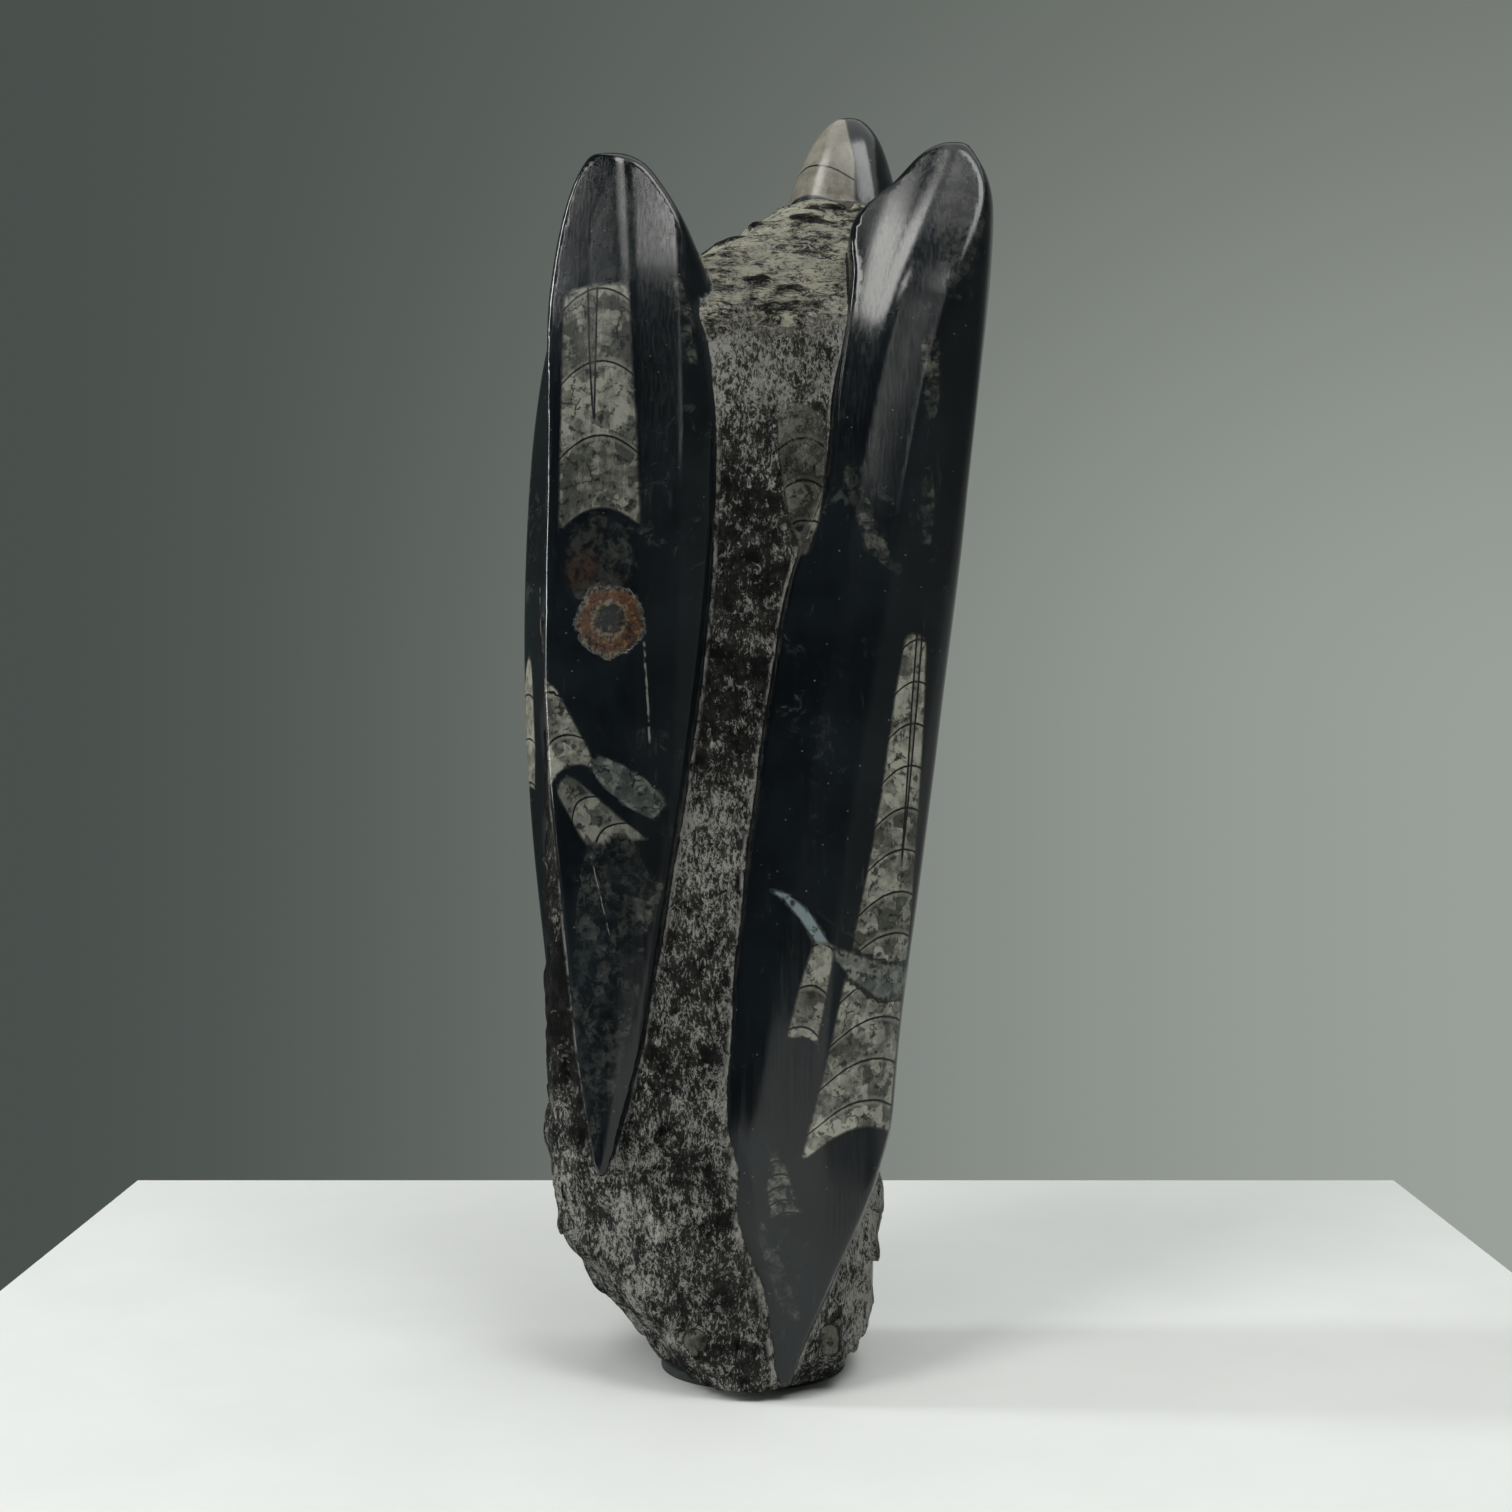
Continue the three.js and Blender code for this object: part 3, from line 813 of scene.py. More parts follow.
def polished_matrix(fin, at, settings):
    """Colour of the black limestone where it is polished."""
    cloud = fin.noise(at, 38.0, 4.0, 0.6)
    color = fin.mix(cloud.ramp(0.38, 0.68), settings.matrix_dark, settings.matrix_light)
    long_at = fin.scaled(at, (1.0, 1.0, 0.16))
    streaked = fin.noise(at, 40.0, 2.0).ramp(0.46, 0.62)
    wisp = fin.noise(long_at, 3.0, 7.0, 0.7, 0.5).ramp(0.57, 0.82) * streaked
    color = fin.mix(wisp * 0.75, color, settings.matrix_wisp)
    ghostly = fin.noise(at, 30.0, 3.0, 0.6, 0.5).ramp(0.54, 0.66)
    blotch = fin.noise(at, 6.0, 8.0, 0.74, 0.8).ramp(0.52, 0.74) * ghostly
    color = fin.mix(blotch * 0.85, color, settings.matrix_wisp)
    for size, rarity, strength in ((3.4, 0.972, 0.45), (1.3, 0.978, 0.35)):
        spots = fin.cells(at, size)
        rare = fin.parts(spots["Color"])[0].ramp(rarity, rarity + 0.02)
        dot = (spots["Distance"] * size).fall(0.10, 0.42)
        color = fin.mix(rare * dot * strength, color, settings.fleck)
    return color


def fossil_calcite(fin, at, form, tube, look, bright, settings):
    """Colour of a cut fossil: mottled calcite, chamber walls, tube and cracks."""
    depth, number, spacing = fin.parts(form)
    tube_offset, tube_half, _ = fin.parts(tube)
    _, warmth, _ = fin.parts(look)
    shake = fin.sway(at, 3.0, 1.4, 4.0)
    number_shaken = number + shake / spacing * 0.35
    chamber = fin.node("ShaderNodeTexWhiteNoise", dict(noise_dimensions="1D"),
                       {"W": number_shaken.math("FLOOR") + warmth * 7.0})["Value"]
    warped = fin.warped(at, 3.0, 2.5)
    plates = fin.parts(fin.cells(warped, 4.8)["Color"])[0]
    grain = fin.noise(at, 3.0, 5.0, 0.6, 0.15)
    broad = fin.noise(at, 9.0, 3.0, 0.5)
    light = grain * 0.40 + broad * 0.34 + plates * 0.22 + chamber * 0.20 - 0.03
    color = fin.mix(light.ramp(0.40, 0.72), settings.calcite_dark, settings.calcite_light)
    color = fin.mix((0 - warmth).ramp(0.0, 1.0), color, settings.calcite_cool)
    color = fin.mix(warmth.ramp(0.45, 1.2) * 0.6, color, settings.calcite_warm)
    wall = abs(number_shaken - number_shaken.math("ROUND")) * spacing
    stain = fin.noise(at, 2.9, 6.0, 0.62, 0.2) + wall.fall(0.0, 3.0) * 0.05
    stained = stain.ramp(0.52, 0.64) * (0.9 - warmth.ramp(0.6, 1.0) * 0.7)
    color = fin.mix(stained, color, settings.calcite_stain)
    line = fin.cells(warped, 6.4, "DISTANCE_TO_EDGE")["Distance"] * 6.4
    where = fin.noise(at, 8.0, 3.0).ramp(0.53, 0.60) * warmth.fall(0.6, 0.9)
    color = fin.mix(line.fall(0.08, 0.34) * where * 0.85, color, settings.crack)
    color = fin.mix(wall.band(0.25, 0.6, 0.9, 2.0) * 0.30, color, settings.calcite_light)
    color = fin.mix(wall.fall(0.20, 0.48), color, settings.crack)
    tube_edge = abs(abs(tube_offset + shake * 0.12) - tube_half)
    has_tube = tube_half.ramp(0.02, 0.12)
    inner = (abs(tube_offset) - tube_half).fall(-0.3, 0.1) * has_tube
    color = fin.mix(inner * 0.35, color, settings.calcite_dark)
    color = fin.mix(tube_edge.fall(0.18, 0.5) * has_tube, color, settings.crack)
    color = fin.mix(depth.fall(0.3, 1.1) * 0.9, color, settings.crack)
    return fin.mix(1 - bright, color, settings.matrix_light)


def rust_nodule(fin, at, color, settings):
    """A rusty iron nodule laid over a colour, and how much of it shows."""
    swing = fin.sway(at, 7.0, 5.0)
    away = fin.distance(at, NODULE_CENTRE)
    out = (away + swing + fin.sway(at, 2.4, 7.0, 7.0, 0.75)) / NODULE_RADIUS
    speck = fin.noise(at, 1.6, 7.0, 0.75, 0.4)
    rust = fin.mix(speck.ramp(0.46, 0.66) * 0.7, settings.rust_dark, settings.rust)
    rust = fin.mix(fin.noise(at, 2.6, 6.0, 0.7).ramp(0.56, 0.70) * 0.5, rust,
                   settings.rust_pale)
    rust = fin.mix(fin.noise(at, 3.4, 6.0, 0.7).fall(0.40, 0.50) * 0.85, rust,
                   settings.matrix_dark)
    core = fin.mix(speck.ramp(0.44, 0.60), settings.matrix_dark, settings.calcite_stain)
    core = fin.mix(fin.noise(at, 1.9, 6.0, 0.75, 0.5).ramp(0.56, 0.66) * 0.7, core,
                   settings.rust_core)
    inside = fin.mix(out.ramp(0.40, 0.52), core, rust)
    # Painted shade: the middle of the nodule is painted dark as the shade of a pit that the mesh
    # doesn't have.
    pit_shade = (away + swing * 0.4) / NODULE_RADIUS
    inside = fin.mix(pit_shade.fall(0.10, 0.24), inside, settings.rough_dark)
    rim = out.band(0.44, 0.50, 0.56, 0.64) * speck.ramp(0.42, 0.54)
    inside = fin.mix(rim * 0.7, inside, settings.rust_crust)
    crust = fin.mix(speck.ramp(0.44, 0.60), settings.rough_dark, settings.rust_crust)
    inside = fin.mix(out.ramp(0.88, 0.97) * 0.8, inside, crust)
    shown = out.fall(1.04, 1.12)
    stain = fin.distance(at, STAIN_CENTRE).fall(3.0, 12.0)
    stain = (stain * 0.22 + fin.noise(at, 2.0, 8.0, 0.8)).ramp(0.62, 0.78)
    color = fin.mix(stain * 0.6, color, settings.rust_dark)
    return fin.mix(shown, color, inside), shown


def rough_matrix(fin, at, crest, polish, settings):
    """Colour and fine height of the broken stone, its colour with painted light and shade."""
    x, y, z = fin.parts(at)
    top = (z + fin.sway(at, 14.0, 40.0)).ramp(334.0, 352.0)
    upright = fin.scaled(at, (1.0, 1.0, 0.5))
    lying = fin.scaled(at, (0.5, 0.75, 1.3))
    pale_band = z.band(140.0, 168.0, 184.0, 208.0) * y.fall(-20.0, 5.0)
    sparse_band = z.band(190.0, 215.0, 270.0, 310.0)
    upper = z.ramp(285.0, 335.0)
    # Painted light and shade: crest, the height of the break relief, makes raised stone paler and
    # sunk stone darker.
    rich = fin.sway(at, 8.0, 0.75, 5.0, 0.65) + crest * 0.045
    flank = (abs(x - 4.0).ramp(26.0, 42.0) + x.ramp(20.0, 34.0)) * z.fall(60.0, 120.0)
    # Painted shade: shaded darkens the rough stone on the left flank.
    shaded = x.fall(-55.0, -46.0) * z.band(62.0, 125.0, 226.0, 250.0)
    rich = rich + pale_band * 0.12 - sparse_band * 0.045 - shaded * 0.17
    rich = rich + upper * 0.13 + flank * (0.07 + x.ramp(20.0, 34.0) * 0.07)
    ground = fin.noise(at, 7.0, 8.0, 0.75, 0.3)
    color = fin.mix((ground + rich * 0.5).ramp(0.34, 0.66), settings.rough_dark,
                    settings.rough_mid)
    flake = fin.noise(upright, 2.1, 8.0, 0.8, 0.7)
    grain = fin.noise(upright, 0.9, 5.0, 0.8, 0.3)
    thread = fin.threads(upright, 3.4, 5.0, 0.7, 1.4, 13.0).ramp(0.0, 1.0)
    haze = (flake * 0.7 + grain * 0.3 + rich * 0.6).ramp(0.42, 0.72)
    color = fin.mix(haze * (0.2 + grain * 1.1), color, settings.rough_grey)
    spark = (flake * 0.42 + grain * 0.58 + rich * 0.42 + thread * 0.05).ramp(0.53, 0.65)
    color = fin.mix(spark * spark.ramp(0.0, 0.6), color, settings.rough_light)
    shell = (thread - 0.35) * (fin.noise(at, 4.5, 4.0, 0.6) + rich * 0.6).ramp(0.50, 0.62)
    color = fin.mix(shell.ramp(0.0, 0.5) * (0.25 + grain * 0.8), color, settings.rough_light)
    pit = fin.noise(upright, 2.0, 8.0, 0.8, 0.6)
    # Painted shade: the low spots of the pit noise, which the bump sinks, are darkened.
    color = fin.mix((pit + rich * 0.2).fall(0.36, 0.49) * 0.86, color, settings.rough_dark)
    strand = fin.noise(lying, 3.8, 8.0, 0.76, 1.6)
    fibre = fin.threads(lying, 5.5, 6.0, 0.7, 1.8, 10.0).ramp(0.0, 1.0)
    # The cream on top is partly the stone's own pale colour and partly painted light: raised relief
    # is painted paler, it grows paler towards the back, and the straw strands carry painted
    # highlights.
    cream = (strand + crest * 0.07 + fibre * 0.16).ramp(0.43, 0.70) * top
    broad = fin.noise(at, 12.0, 3.0).ramp(0.36, 0.64, 0.40, 1.0) + y.ramp(-12.0, 15.0) * 0.3
    color = fin.mix((cream * (0.6 + grain * 1.1) * broad).ramp(0.0, 1.0), color,
                    settings.rough_cream_and_highlight)
    straw_and_highlight = fibre * fin.noise(at, 6.0, 4.0, 0.6).ramp(0.44, 0.60) * top
    color = fin.mix(straw_and_highlight, color, settings.rough_cream_and_highlight)
    # Painted shade: seams and the low places between the strands on top are darkened as shade in
    # crevices; the bump sinks them too.
    seam = fin.threads(lying, 9.0, 7.0, 0.72, 1.5, 14.0).ramp(0.1, 0.9)
    seam = seam * fin.noise(at, 5.0, 5.0, 0.7).ramp(0.43, 0.58)
    crevice_shade = (strand + crest * 0.10).fall(0.37, 0.56) + seam * 0.85
    crevice_shade = crevice_shade.ramp(0.0, 1.0) * top
    color = fin.mix(crevice_shade * 0.9, color, settings.rough_dark)
    # Painted shade: the hollows of the break relief are darkened.
    color = fin.mix(crest.fall(-1.8, 0.2) * 0.6, color, settings.rough_dark)
    chipped = polish.band(-1.7, -0.5, -0.35, 0.0)
    chipped = chipped * fin.noise(upright, 3.0, 7.0, 0.75, 0.5).ramp(0.42, 0.58)
    color = fin.mix(chipped * 0.85, color, settings.rough_light)
    height = (flake * 1.5 + grain * 0.35 + pit * 1.6 + thread * 0.12
              + top * (strand * 3.6 + fibre * 0.7 - crevice_shade * 0.8))
    return color, height


def stone_finish(settings):
    fin = Finish(bpy.data.materials.new("orthoceras_limestone"))
    at = fin.place()
    form = fin.layer("fossil_form")["Vector"]
    tube = fin.layer("fossil_tube")["Vector"]
    look = fin.layer("fossil_look")["Vector"]
    skin = fin.layer("stone_skin")["Vector"]
    polish, crest, bright = fin.parts(skin)
    tone, _, vein_end = fin.parts(look)
    _, _, vein = fin.parts(tube)

    polished = (polish + fin.sway(at, 3.0, 0.5, 5.0, 0.6)).ramp(-0.06, 0.10)

    black = polished_matrix(fin, at, settings)
    depth = fin.parts(form)[0]
    ragged = fin.sway(at, 4.0, 1.3 + (1 - tone) * 14.0, 6.0, 0.65)
    inside = (depth + ragged).ramp(-0.1, 0.25)
    patchy = fin.noise(at, 4.0, 7.0, 0.7, 0.4).ramp(0.38, 0.64)
    solid = tone.ramp(0.5, 0.8)
    inside = inside * tone * (solid * (1 - patchy) + patchy)
    calcite = fossil_calcite(fin, at, form, tube, look, bright, settings)
    color = fin.mix(inside, black, calcite)
    broken = fin.noise(at, 3.5, 3.0).ramp(0.42, 0.55)
    wobble = fin.sway(at, 4.5, 3.0, 4.0)
    vein_line = abs(vein + wobble).fall(0.5, 1.3) * vein_end.ramp(-0.5, 1.0) * broken
    color = fin.mix(vein_line * 0.5, color, settings.fleck)
    color, rusty = rust_nodule(fin, at, color, settings)

    rough_color, rough_height = rough_matrix(fin, at, crest, polish, settings)
    rough_color = fin.mix(inside * 0.85, rough_color, calcite)
    rough = fin.shader(
        {"IOR": 1.47, "Specular IOR Level": 0.12},
        {"Base Color": rough_color, "Roughness": 0.6 + fin.noise(at, 2.0) * 0.3,
         "Normal": fin.bump(rough_height, 2.6)})

    wear = fin.noise(at, 24.0, 4.0, 0.6)
    brushed_at = fin.scaled(at, (1.0, 1.0, 0.04))
    brushed = fin.noise(brushed_at, 0.8, 5.0, 0.7)
    gloss = settings.polish + wear * 0.08 + inside * 0.08
    gloss = gloss + brushed.ramp(0.35, 0.75) * (1 - rusty) * 0.12
    gloss = gloss + rusty * 0.12 + polish.fall(0.3, 2.4) * 0.25
    height = (brushed * (1 - rusty) * 0.016 + fin.noise(at, 30.0, 1.0) * 0.25
              - rusty * fin.noise(at, 1.0, 4.0, 0.7) * 0.25)
    smooth = fin.shader({"IOR": 1.47}, {"Base Color": color, "Roughness": gloss,
                                        "Normal": fin.bump(height, 1.0)})
    both = fin.node("ShaderNodeMixShader", {}, {0: polished, 1: rough, 2: smooth})
    return fin.finish(both["Shader"])


def pad_finish(settings):
    fin = Finish(bpy.data.materials.new("pad_rubber"))
    at = fin.place()
    mottled = fin.noise(at, 6.0, 4.0, 0.6)
    color = fin.mix(mottled.ramp(0.35, 0.65), settings.dark, settings.light)
    lint = fin.noise(fin.scaled(at, (1.0, 1.0, 2.5)), 0.8, 5.0, 0.7)
    color = fin.mix(lint.ramp(0.62, 0.74) * 0.35, color, settings.dust)
    stipple = fin.cells(at, 0.7)["Distance"]
    height = stipple * 0.5 + fin.noise(at, 0.4, 4.0) * 0.5
    roughness = 0.72 + mottled * 0.2
    return fin.finish(fin.shader({"IOR": 1.5}, {"Base Color": color, "Roughness": roughness,
                                                "Normal": fin.bump(height, 0.12)}))


# ------------------------------------------------------------------ what a user can change

def color_field(name, description, default):
    return FloatVectorProperty(name=name, description=description, default=default, size=3,
                               subtype="COLOR", min=0.0, max=1.0)


def power_field(name, description, default):
    return FloatProperty(name=name, description=description, default=default, min=0.0,
                         unit="POWER")


class StoneSettings(bpy.types.PropertyGroup):
    mesh_cell: FloatProperty(
        name="Mesh cell", description="Spacing of the stone's surface mesh",
        default=1.6 * MM, min=1.2 * MM, max=6.0 * MM, precision=4, subtype="DISTANCE",
        unit="LENGTH")
    relief: FloatProperty(
        name="Break relief", description="Height of the relief on the broken stone",
        default=1.0, min=0.0, max=2.0, subtype="FACTOR")
    polish: FloatProperty(
        name="Polish roughness", description="Roughness of the polished faces",
        default=0.07, min=0.0, max=1.0, subtype="FACTOR")
    matrix_dark: color_field("Black stone", "Darkest polished limestone",
                             (0.0022, 0.0034, 0.0048))
    matrix_light: color_field("Grey stone", "Lighter clouds in the polished limestone",
                              (0.0060, 0.0088, 0.0110))
    matrix_wisp: color_field("Wisps", "Faint wisps and ghosts in the black stone",
                             (0.055, 0.064, 0.062))
    fleck: color_field("Flecks", "Small calcite flecks and veins", (0.30, 0.31, 0.28))
    calcite_light: color_field("Light calcite", "Pale calcite of the fossils",
                               (0.330, 0.325, 0.275))
    calcite_dark: color_field("Dark calcite", "Grey calcite of the fossils",
                              (0.052, 0.053, 0.044))
    calcite_stain: color_field("Stained calcite", "Dark stains in the fossils",
                               (0.015, 0.016, 0.014))
    calcite_cool: color_field("Cool calcite", "Blue grey calcite", (0.20, 0.25, 0.265))
    calcite_warm: color_field("Warm calcite", "Cream pink calcite", (0.40, 0.355, 0.285))
    crack: color_field("Walls and cracks", "Chamber walls, tube and cracks",
                       (0.0085, 0.0085, 0.0080))
    rust: color_field("Rust", "Orange brown of the iron nodule", (0.165, 0.054, 0.015))
    rust_dark: color_field("Dark rust", "Brown of the iron nodule", (0.036, 0.017, 0.009))
    rust_pale: color_field("Pale rust", "Yellow specks of the iron nodule",
                           (0.34, 0.20, 0.07))
    rust_core: color_field("Nodule core", "Pinkish grey of the nodule's core",
                           (0.14, 0.105, 0.095))
    rust_crust: color_field("Nodule crust", "Pale crust round the nodule",
                            (0.13, 0.115, 0.075))
    rough_dark: color_field("Rough dark", "Darkest broken stone", (0.0050, 0.0052, 0.0055))
    rough_mid: color_field("Rough black", "Ground colour of the broken stone",
                           (0.046, 0.044, 0.041))
    rough_grey: color_field("Rough grey", "Grey calcite of the broken stone",
                            (0.085, 0.083, 0.076))
    rough_light: color_field("Rough flecks", "Pale flecks of the broken stone",
                             (0.62, 0.61, 0.56))
    # Partly the cream of the stone's top and partly painted light on it.
    rough_cream_and_highlight: color_field("Rough cream", "Weathered cream on top of the stone",
                            (0.90, 0.87, 0.70))


class PadSettings(bpy.types.PropertyGroup):
    sides: IntProperty(name="Sides", description="Sides of the round pad", default=128,
                       min=24, max=256)
    edge: FloatProperty(
        name="Edge radius", description="Rounding of the pad's edge", default=1.1 * MM,
        min=0.2 * MM, max=1.4 * MM, precision=4, subtype="DISTANCE", unit="LENGTH")
    dark: color_field("Dark rubber", "Darker colour of the pad", (0.010, 0.014, 0.012))
    light: color_field("Light rubber", "Lighter colour of the pad", (0.022, 0.030, 0.026))
    dust: color_field("Dust", "Dust and lint on the pad", (0.12, 0.13, 0.12))


class StageSettings(bpy.types.PropertyGroup):
    floor: color_field("Floor", "Pale painted floor", (0.80, 0.81, 0.80))
    wall_left: color_field("Wall left", "Wall colour towards the left", (0.068, 0.080, 0.073))
    wall_right: color_field("Wall right", "Wall colour towards the right",
                            (0.33, 0.355, 0.33))
    wall_high: color_field("Wall high", "Wall colour high up", (0.16, 0.175, 0.16))
    window_power: power_field("Front window", "Power of the window light at the front left", 23.0)
    strip_power: power_field("Left strip", "Power of the narrow light at the left", 25.0)
    right_power: power_field("Right window", "Power of the window light at the right", 15.0)
    top_power: power_field("Ceiling", "Power of the broad ceiling light", 28.0)
    panel_power: power_field("Left panel", "Power of the small panel light at the left", 0.085)
    lamp_power: power_field("Near lamp", "Power of the light above the camera", 0.09)
    low_power: power_field("Low lamp", "Power of the weak light behind the camera", 0.045)


# ------------------------------------------------------------------ pieces

def new_piece(name, points, faces, material):
    """A smooth mesh object in metres, from points in mm."""
    mesh = bpy.data.meshes.new(name)
    mesh.from_pydata((points * MM).tolist(), [], faces)
    mesh.materials.append(material)
    mesh.shade_smooth()
    piece = bpy.data.objects.new(name, mesh)
    bpy.context.scene.collection.objects.link(piece)
    return piece


POLISH_REACH = 9.0         # distance from a polished edge is kept only up to this, in mm


class FOSSIL_OT_make_stone(bpy.types.Operator):
    """Carve the limestone tower and give it its polished, broken and fossil finishes"""
    bl_idname = "fossil_tower.make_stone"
    bl_label = "Make Stone"

    def execute(self, context):
        settings = context.scene.fossil_stone
        points, quads, polish, normals = carve_tower(settings.mesh_cell / MM, settings.relief)
        if not len(quads):
            raise RuntimeError("the stone came out empty: use a smaller mesh cell")
        stone = new_piece("limestone_tower", points, quads.tolist(), stone_finish(settings))
        form, tube, look, bright = fossil_layers(points)
        edge = np.clip(polish, -POLISH_REACH, POLISH_REACH)
        skin = np.stack((edge, break_relief(points), bright), axis=1)
        for name, values in (("fossil_form", form), ("fossil_tube", tube),
                             ("fossil_look", look), ("stone_skin", skin)):
            layer = stone.data.attributes.new(name, "FLOAT_VECTOR", "POINT")
            layer.data.foreach_set("vector", values.astype(np.float32).ravel())
        stone.data.normals_split_custom_set_from_vertices(normals.tolist())
        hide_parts("fossil_stone")
        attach(stone, "root")
        return {"FINISHED"}


TOP_RINGS, FOOT_RINGS = (0.35, 0.7, 0.86), (0.86, 0.5)     # of the flat faces, in radii
EDGE_STEPS = 6             # flats that round the pad's upper edge
FOOT_EDGE, FOOT_EDGE_STEPS = 0.4, 4    # the same for its lower edge, with its radius in mm


def arc(across, height, radius, start, end, steps):
    """Points of a round stretch of a profile, from one angle to another."""
    angles = [start + (end - start) * step / steps for step in range(steps + 1)]
    return [(across + radius * math.cos(a), height + radius * math.sin(a)) for a in angles]


def turned(profile, middle, sides):
    """Points and faces of a solid turned from a profile of radius and height."""
    angles = [2 * math.pi * side / sides for side in range(sides)]
    points = [(middle[0] + r * math.cos(a), middle[1] + r * math.sin(a), z)
              for r, z in profile for a in angles]
    rings = np.arange(len(points)).reshape(-1, sides).tolist()
    faces = [(upper[after], upper[side], lower[side], lower[after])
             for upper, lower in zip(rings, rings[1:])
             for side, after in enumerate([*range(1, sides), 0])]
    return np.array(points), [*faces, rings[0], rings[-1][::-1]]


class FOSSIL_OT_make_pad(bpy.types.Operator):
    """Turn the thin round pad that the stone stands on"""
    bl_idname = "fossil_tower.make_pad"
    bl_label = "Make Pad"

    def execute(self, context):
        settings = context.scene.fossil_pad
        middle = (PAD_LOW + PAD_HIGH) / 2
        low, high = PAD_LOW[2], PAD_HIGH[2]
        radius = (PAD_HIGH[0] - PAD_LOW[0]) / 2 * math.cos(math.pi / settings.sides)
        edge = settings.edge / MM
        if radius <= edge:
            raise RuntimeError("the pad's edge radius is larger than the pad")
        profile = ([(radius * part, high) for part in TOP_RINGS]
                   + arc(radius - edge, high - edge, edge, math.pi / 2, 0, EDGE_STEPS)
                   + arc(radius - FOOT_EDGE, low + FOOT_EDGE, FOOT_EDGE, 0, -math.pi / 2,
                         FOOT_EDGE_STEPS)
                   + [(radius * part, low) for part in FOOT_RINGS])
        points, faces = turned(profile, middle, settings.sides)
        pad = new_piece("stone_pad", points, faces, pad_finish(settings))
        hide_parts("base_pad")
        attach(pad, "root")
        return {"FINISHED"}


# ------------------------------------------------------------------ the stage, in metres

FLOOR_LEFT, FLOOR_RIGHT = -0.285, 0.296
FLOOR_FRONT, FLOOR_BACK = -0.95, 0.299
FLOOR_THICK = 0.03

CAMERA_PLACE = (0.001, -0.805, 0.230)
CAMERA_PITCH = math.radians(1.7422)    # how far it looks below the level
CAMERA_LENS, CAMERA_SENSOR = 57.14, 36.0   # focal length and sensor width, in mm
CAMERA_NEAREST = 0.01      # nothing closer than this is seen

# name, place, what it looks at, width, height, setting that holds its power, colour
LIGHTS = [
    ("front_window", (-0.97, -1.34, 2.02), (0.0, 0.0, 0.34), 0.66, 1.15, "window_power",
     (1.0, 1.0, 0.96)),
    ("left_strip", (-2.0, 0.10, 0.78), (0.0, 0.0, 0.25), 0.26, 1.45, "strip_power",
     (0.97, 1.0, 1.0)),
    ("left_panel", (-0.390, -0.196, 0.558), (-0.064, -0.022, 0.378), 0.022, 0.11,
     "panel_power", (1.0, 1.0, 0.98)),
    ("near_lamp", (-0.020, -0.355, 0.603), (-0.030, -0.03, 0.38), 0.065, 0.05,
     "lamp_power", (1.0, 1.0, 0.98)),
    ("low_lamp", (0.015, -0.51, 0.51), (0.045, -0.04, 0.33), 0.022, 0.22, "low_power",
     (1.0, 1.0, 0.98)),
    ("right_window", (0.57, -1.16, 2.0), (0.0, 0.0, 0.34), 0.80, 0.90, "right_power",
     (0.98, 1.0, 0.98)),
    ("ceiling", (0.55, -0.10, 2.35), (0.55, -0.10, 0.0), 2.6, 3.0, "top_power",
     (1.0, 1.0, 0.99)),
]


def floor_finish(color):
    fin = Finish(bpy.data.materials.new("floor_paint"))
    at = fin.place()
    soft = fin.noise(at, 60.0, 4.0, 0.6)
    shaded = fin.mix(soft.ramp(0.3, 0.7), tuple(c * 0.975 for c in color), tuple(color))
    roller = fin.noise(at, 1.2, 3.0, 0.6)
    return fin.finish(fin.shader({"IOR": 1.45}, {"Base Color": shaded,
                                                 "Roughness": 0.55 + soft * 0.1,
                                                 "Normal": fin.bump(roller, 0.05)}))


ROOM_DIM = 0.55            # the unseen side of the room is this bright beside the wall


def paint_wall(world, settings):
    """A wall of light round the scene that grows paler from left to right."""
    fin = Finish(world)
    x, y, z = fin.parts(fin.node("ShaderNodeTexCoord")["Generated"])
    across = x.ramp(-0.30, 0.34)
    right = fin.mix(z.ramp(-0.02, 0.34), settings.wall_right, settings.wall_high)
    color = fin.mix(across, settings.wall_left, right)
    dim = y.ramp(-0.5, 0.3, ROOM_DIM, 1.0)
    light = fin.node("ShaderNodeBackground", {}, {"Color": color, "Strength": dim})
    fin.node("ShaderNodeOutputWorld", {}, {"Surface": light["Background"]})


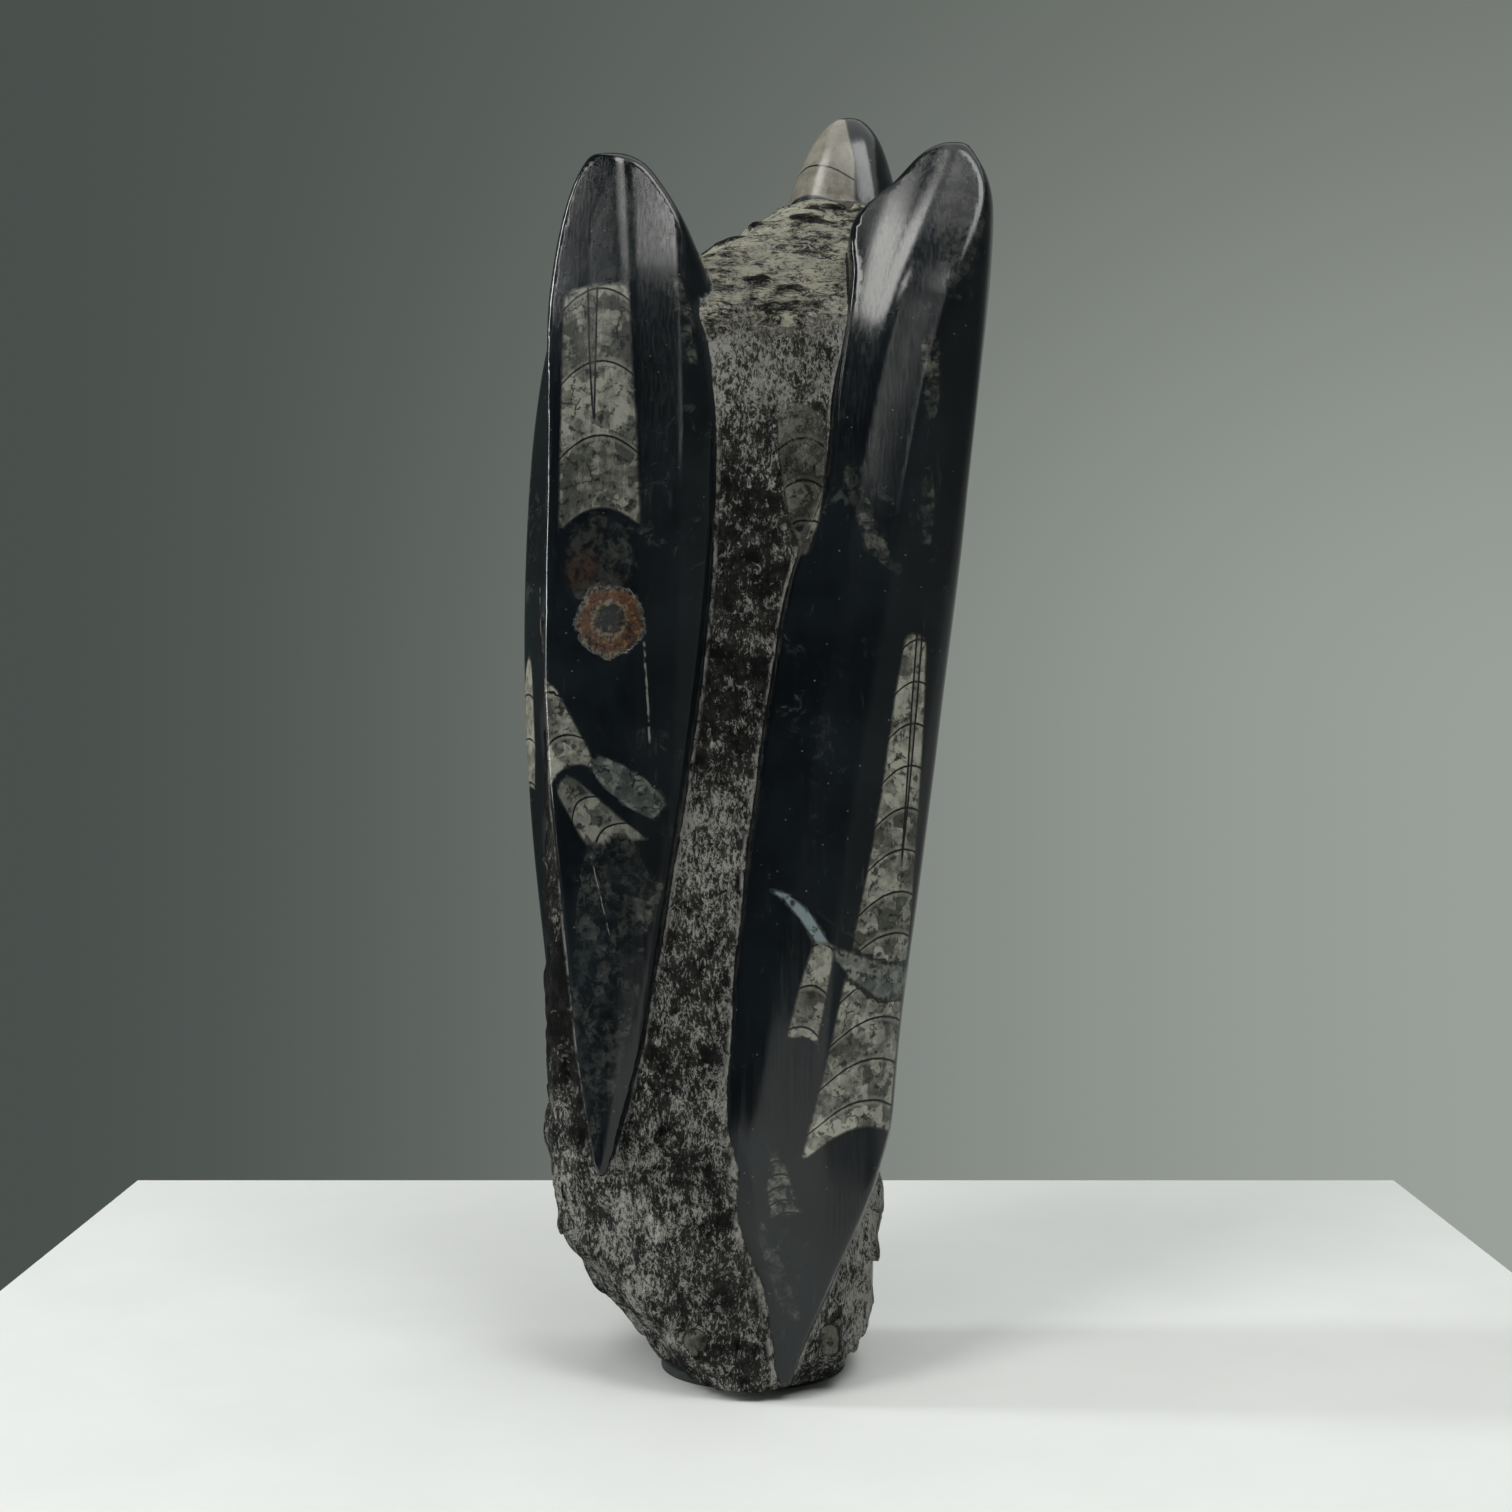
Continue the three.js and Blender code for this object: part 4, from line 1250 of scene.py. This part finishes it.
class FOSSIL_OT_make_stage(bpy.types.Operator):
    """Lay the pale floor, hang the soft lights and set up the camera"""
    bl_idname = "fossil_tower.make_stage"
    bl_label = "Make Stage"

    def execute(self, context):
        scene = context.scene
        settings = scene.fossil_stage
        corners = np.array([(x, y, z) for x in (FLOOR_LEFT, FLOOR_RIGHT)
                            for y in (FLOOR_FRONT, FLOOR_BACK) for z in (-FLOOR_THICK, 0.0)]) / MM
        faces = [(0, 1, 3, 2), (4, 6, 7, 5), (0, 4, 5, 1), (2, 3, 7, 6), (0, 2, 6, 4),
                 (1, 5, 7, 3)]
        floor = new_piece("floor", corners, faces, floor_finish(settings.floor))
        floor.data.shade_flat()

        scene.world = bpy.data.worlds.new("pale_wall")
        paint_wall(scene.world, settings)

        for name, place, target, width, height, power, color in LIGHTS:
            data = bpy.data.lights.new(name, "AREA")
            data.shape = "RECTANGLE"
            data.size, data.size_y = width, height
            data.energy = getattr(settings, power)
            data.color = color
            light = bpy.data.objects.new(name, data)
            light.location = place
            way = Vector(target) - Vector(place)
            light.rotation_euler = way.to_track_quat("-Z", "Y").to_euler()
            light.visible_camera = False
            scene.collection.objects.link(light)

        data = bpy.data.cameras.new("camera")
        data.lens = CAMERA_LENS
        data.sensor_width = CAMERA_SENSOR
        data.sensor_fit = "HORIZONTAL"
        data.clip_start = CAMERA_NEAREST
        camera = bpy.data.objects.new("camera", data)
        camera.location = CAMERA_PLACE
        camera.rotation_euler = (math.pi / 2 - CAMERA_PITCH, 0.0, 0.0)
        scene.collection.objects.link(camera)
        bpy.context.scene.camera = camera
        scene.view_settings.view_transform = "Standard"
        return {"FINISHED"}


class FOSSIL_PT_tower(bpy.types.Panel):
    """Lists the tower's settings and the buttons that make its pieces"""
    bl_idname = "FOSSIL_PT_tower"
    bl_label = "Orthoceras Tower"
    bl_space_type = "VIEW_3D"
    bl_region_type = "UI"
    bl_category = "Fossil"

    def draw(self, context):
        scene = context.scene
        for title, settings, operator in (
                ("Stone", scene.fossil_stone, FOSSIL_OT_make_stone),
                ("Pad", scene.fossil_pad, FOSSIL_OT_make_pad),
                ("Stage", scene.fossil_stage, FOSSIL_OT_make_stage)):
            box = self.layout.box()
            box.label(text=title)
            for field in settings.__annotations__:
                box.prop(settings, field)
            box.operator(operator.bl_idname)


CLASSES = (StoneSettings, PadSettings, StageSettings, FOSSIL_OT_make_stone,
           FOSSIL_OT_make_pad, FOSSIL_OT_make_stage, FOSSIL_PT_tower)


def register():
    for cls in CLASSES:
        bpy.utils.register_class(cls)
    bpy.types.Scene.fossil_stone = PointerProperty(type=StoneSettings)
    bpy.types.Scene.fossil_pad = PointerProperty(type=PadSettings)
    bpy.types.Scene.fossil_stage = PointerProperty(type=StageSettings)


def unregister():
    del bpy.types.Scene.fossil_stage
    del bpy.types.Scene.fossil_pad
    del bpy.types.Scene.fossil_stone
    for cls in reversed(CLASSES):
        bpy.utils.unregister_class(cls)


def main():
    register()
    bpy.ops.fossil_tower.make_stage()
    bpy.ops.fossil_tower.make_pad()
    bpy.ops.fossil_tower.make_stone()


if __name__ == "__main__":
    main()
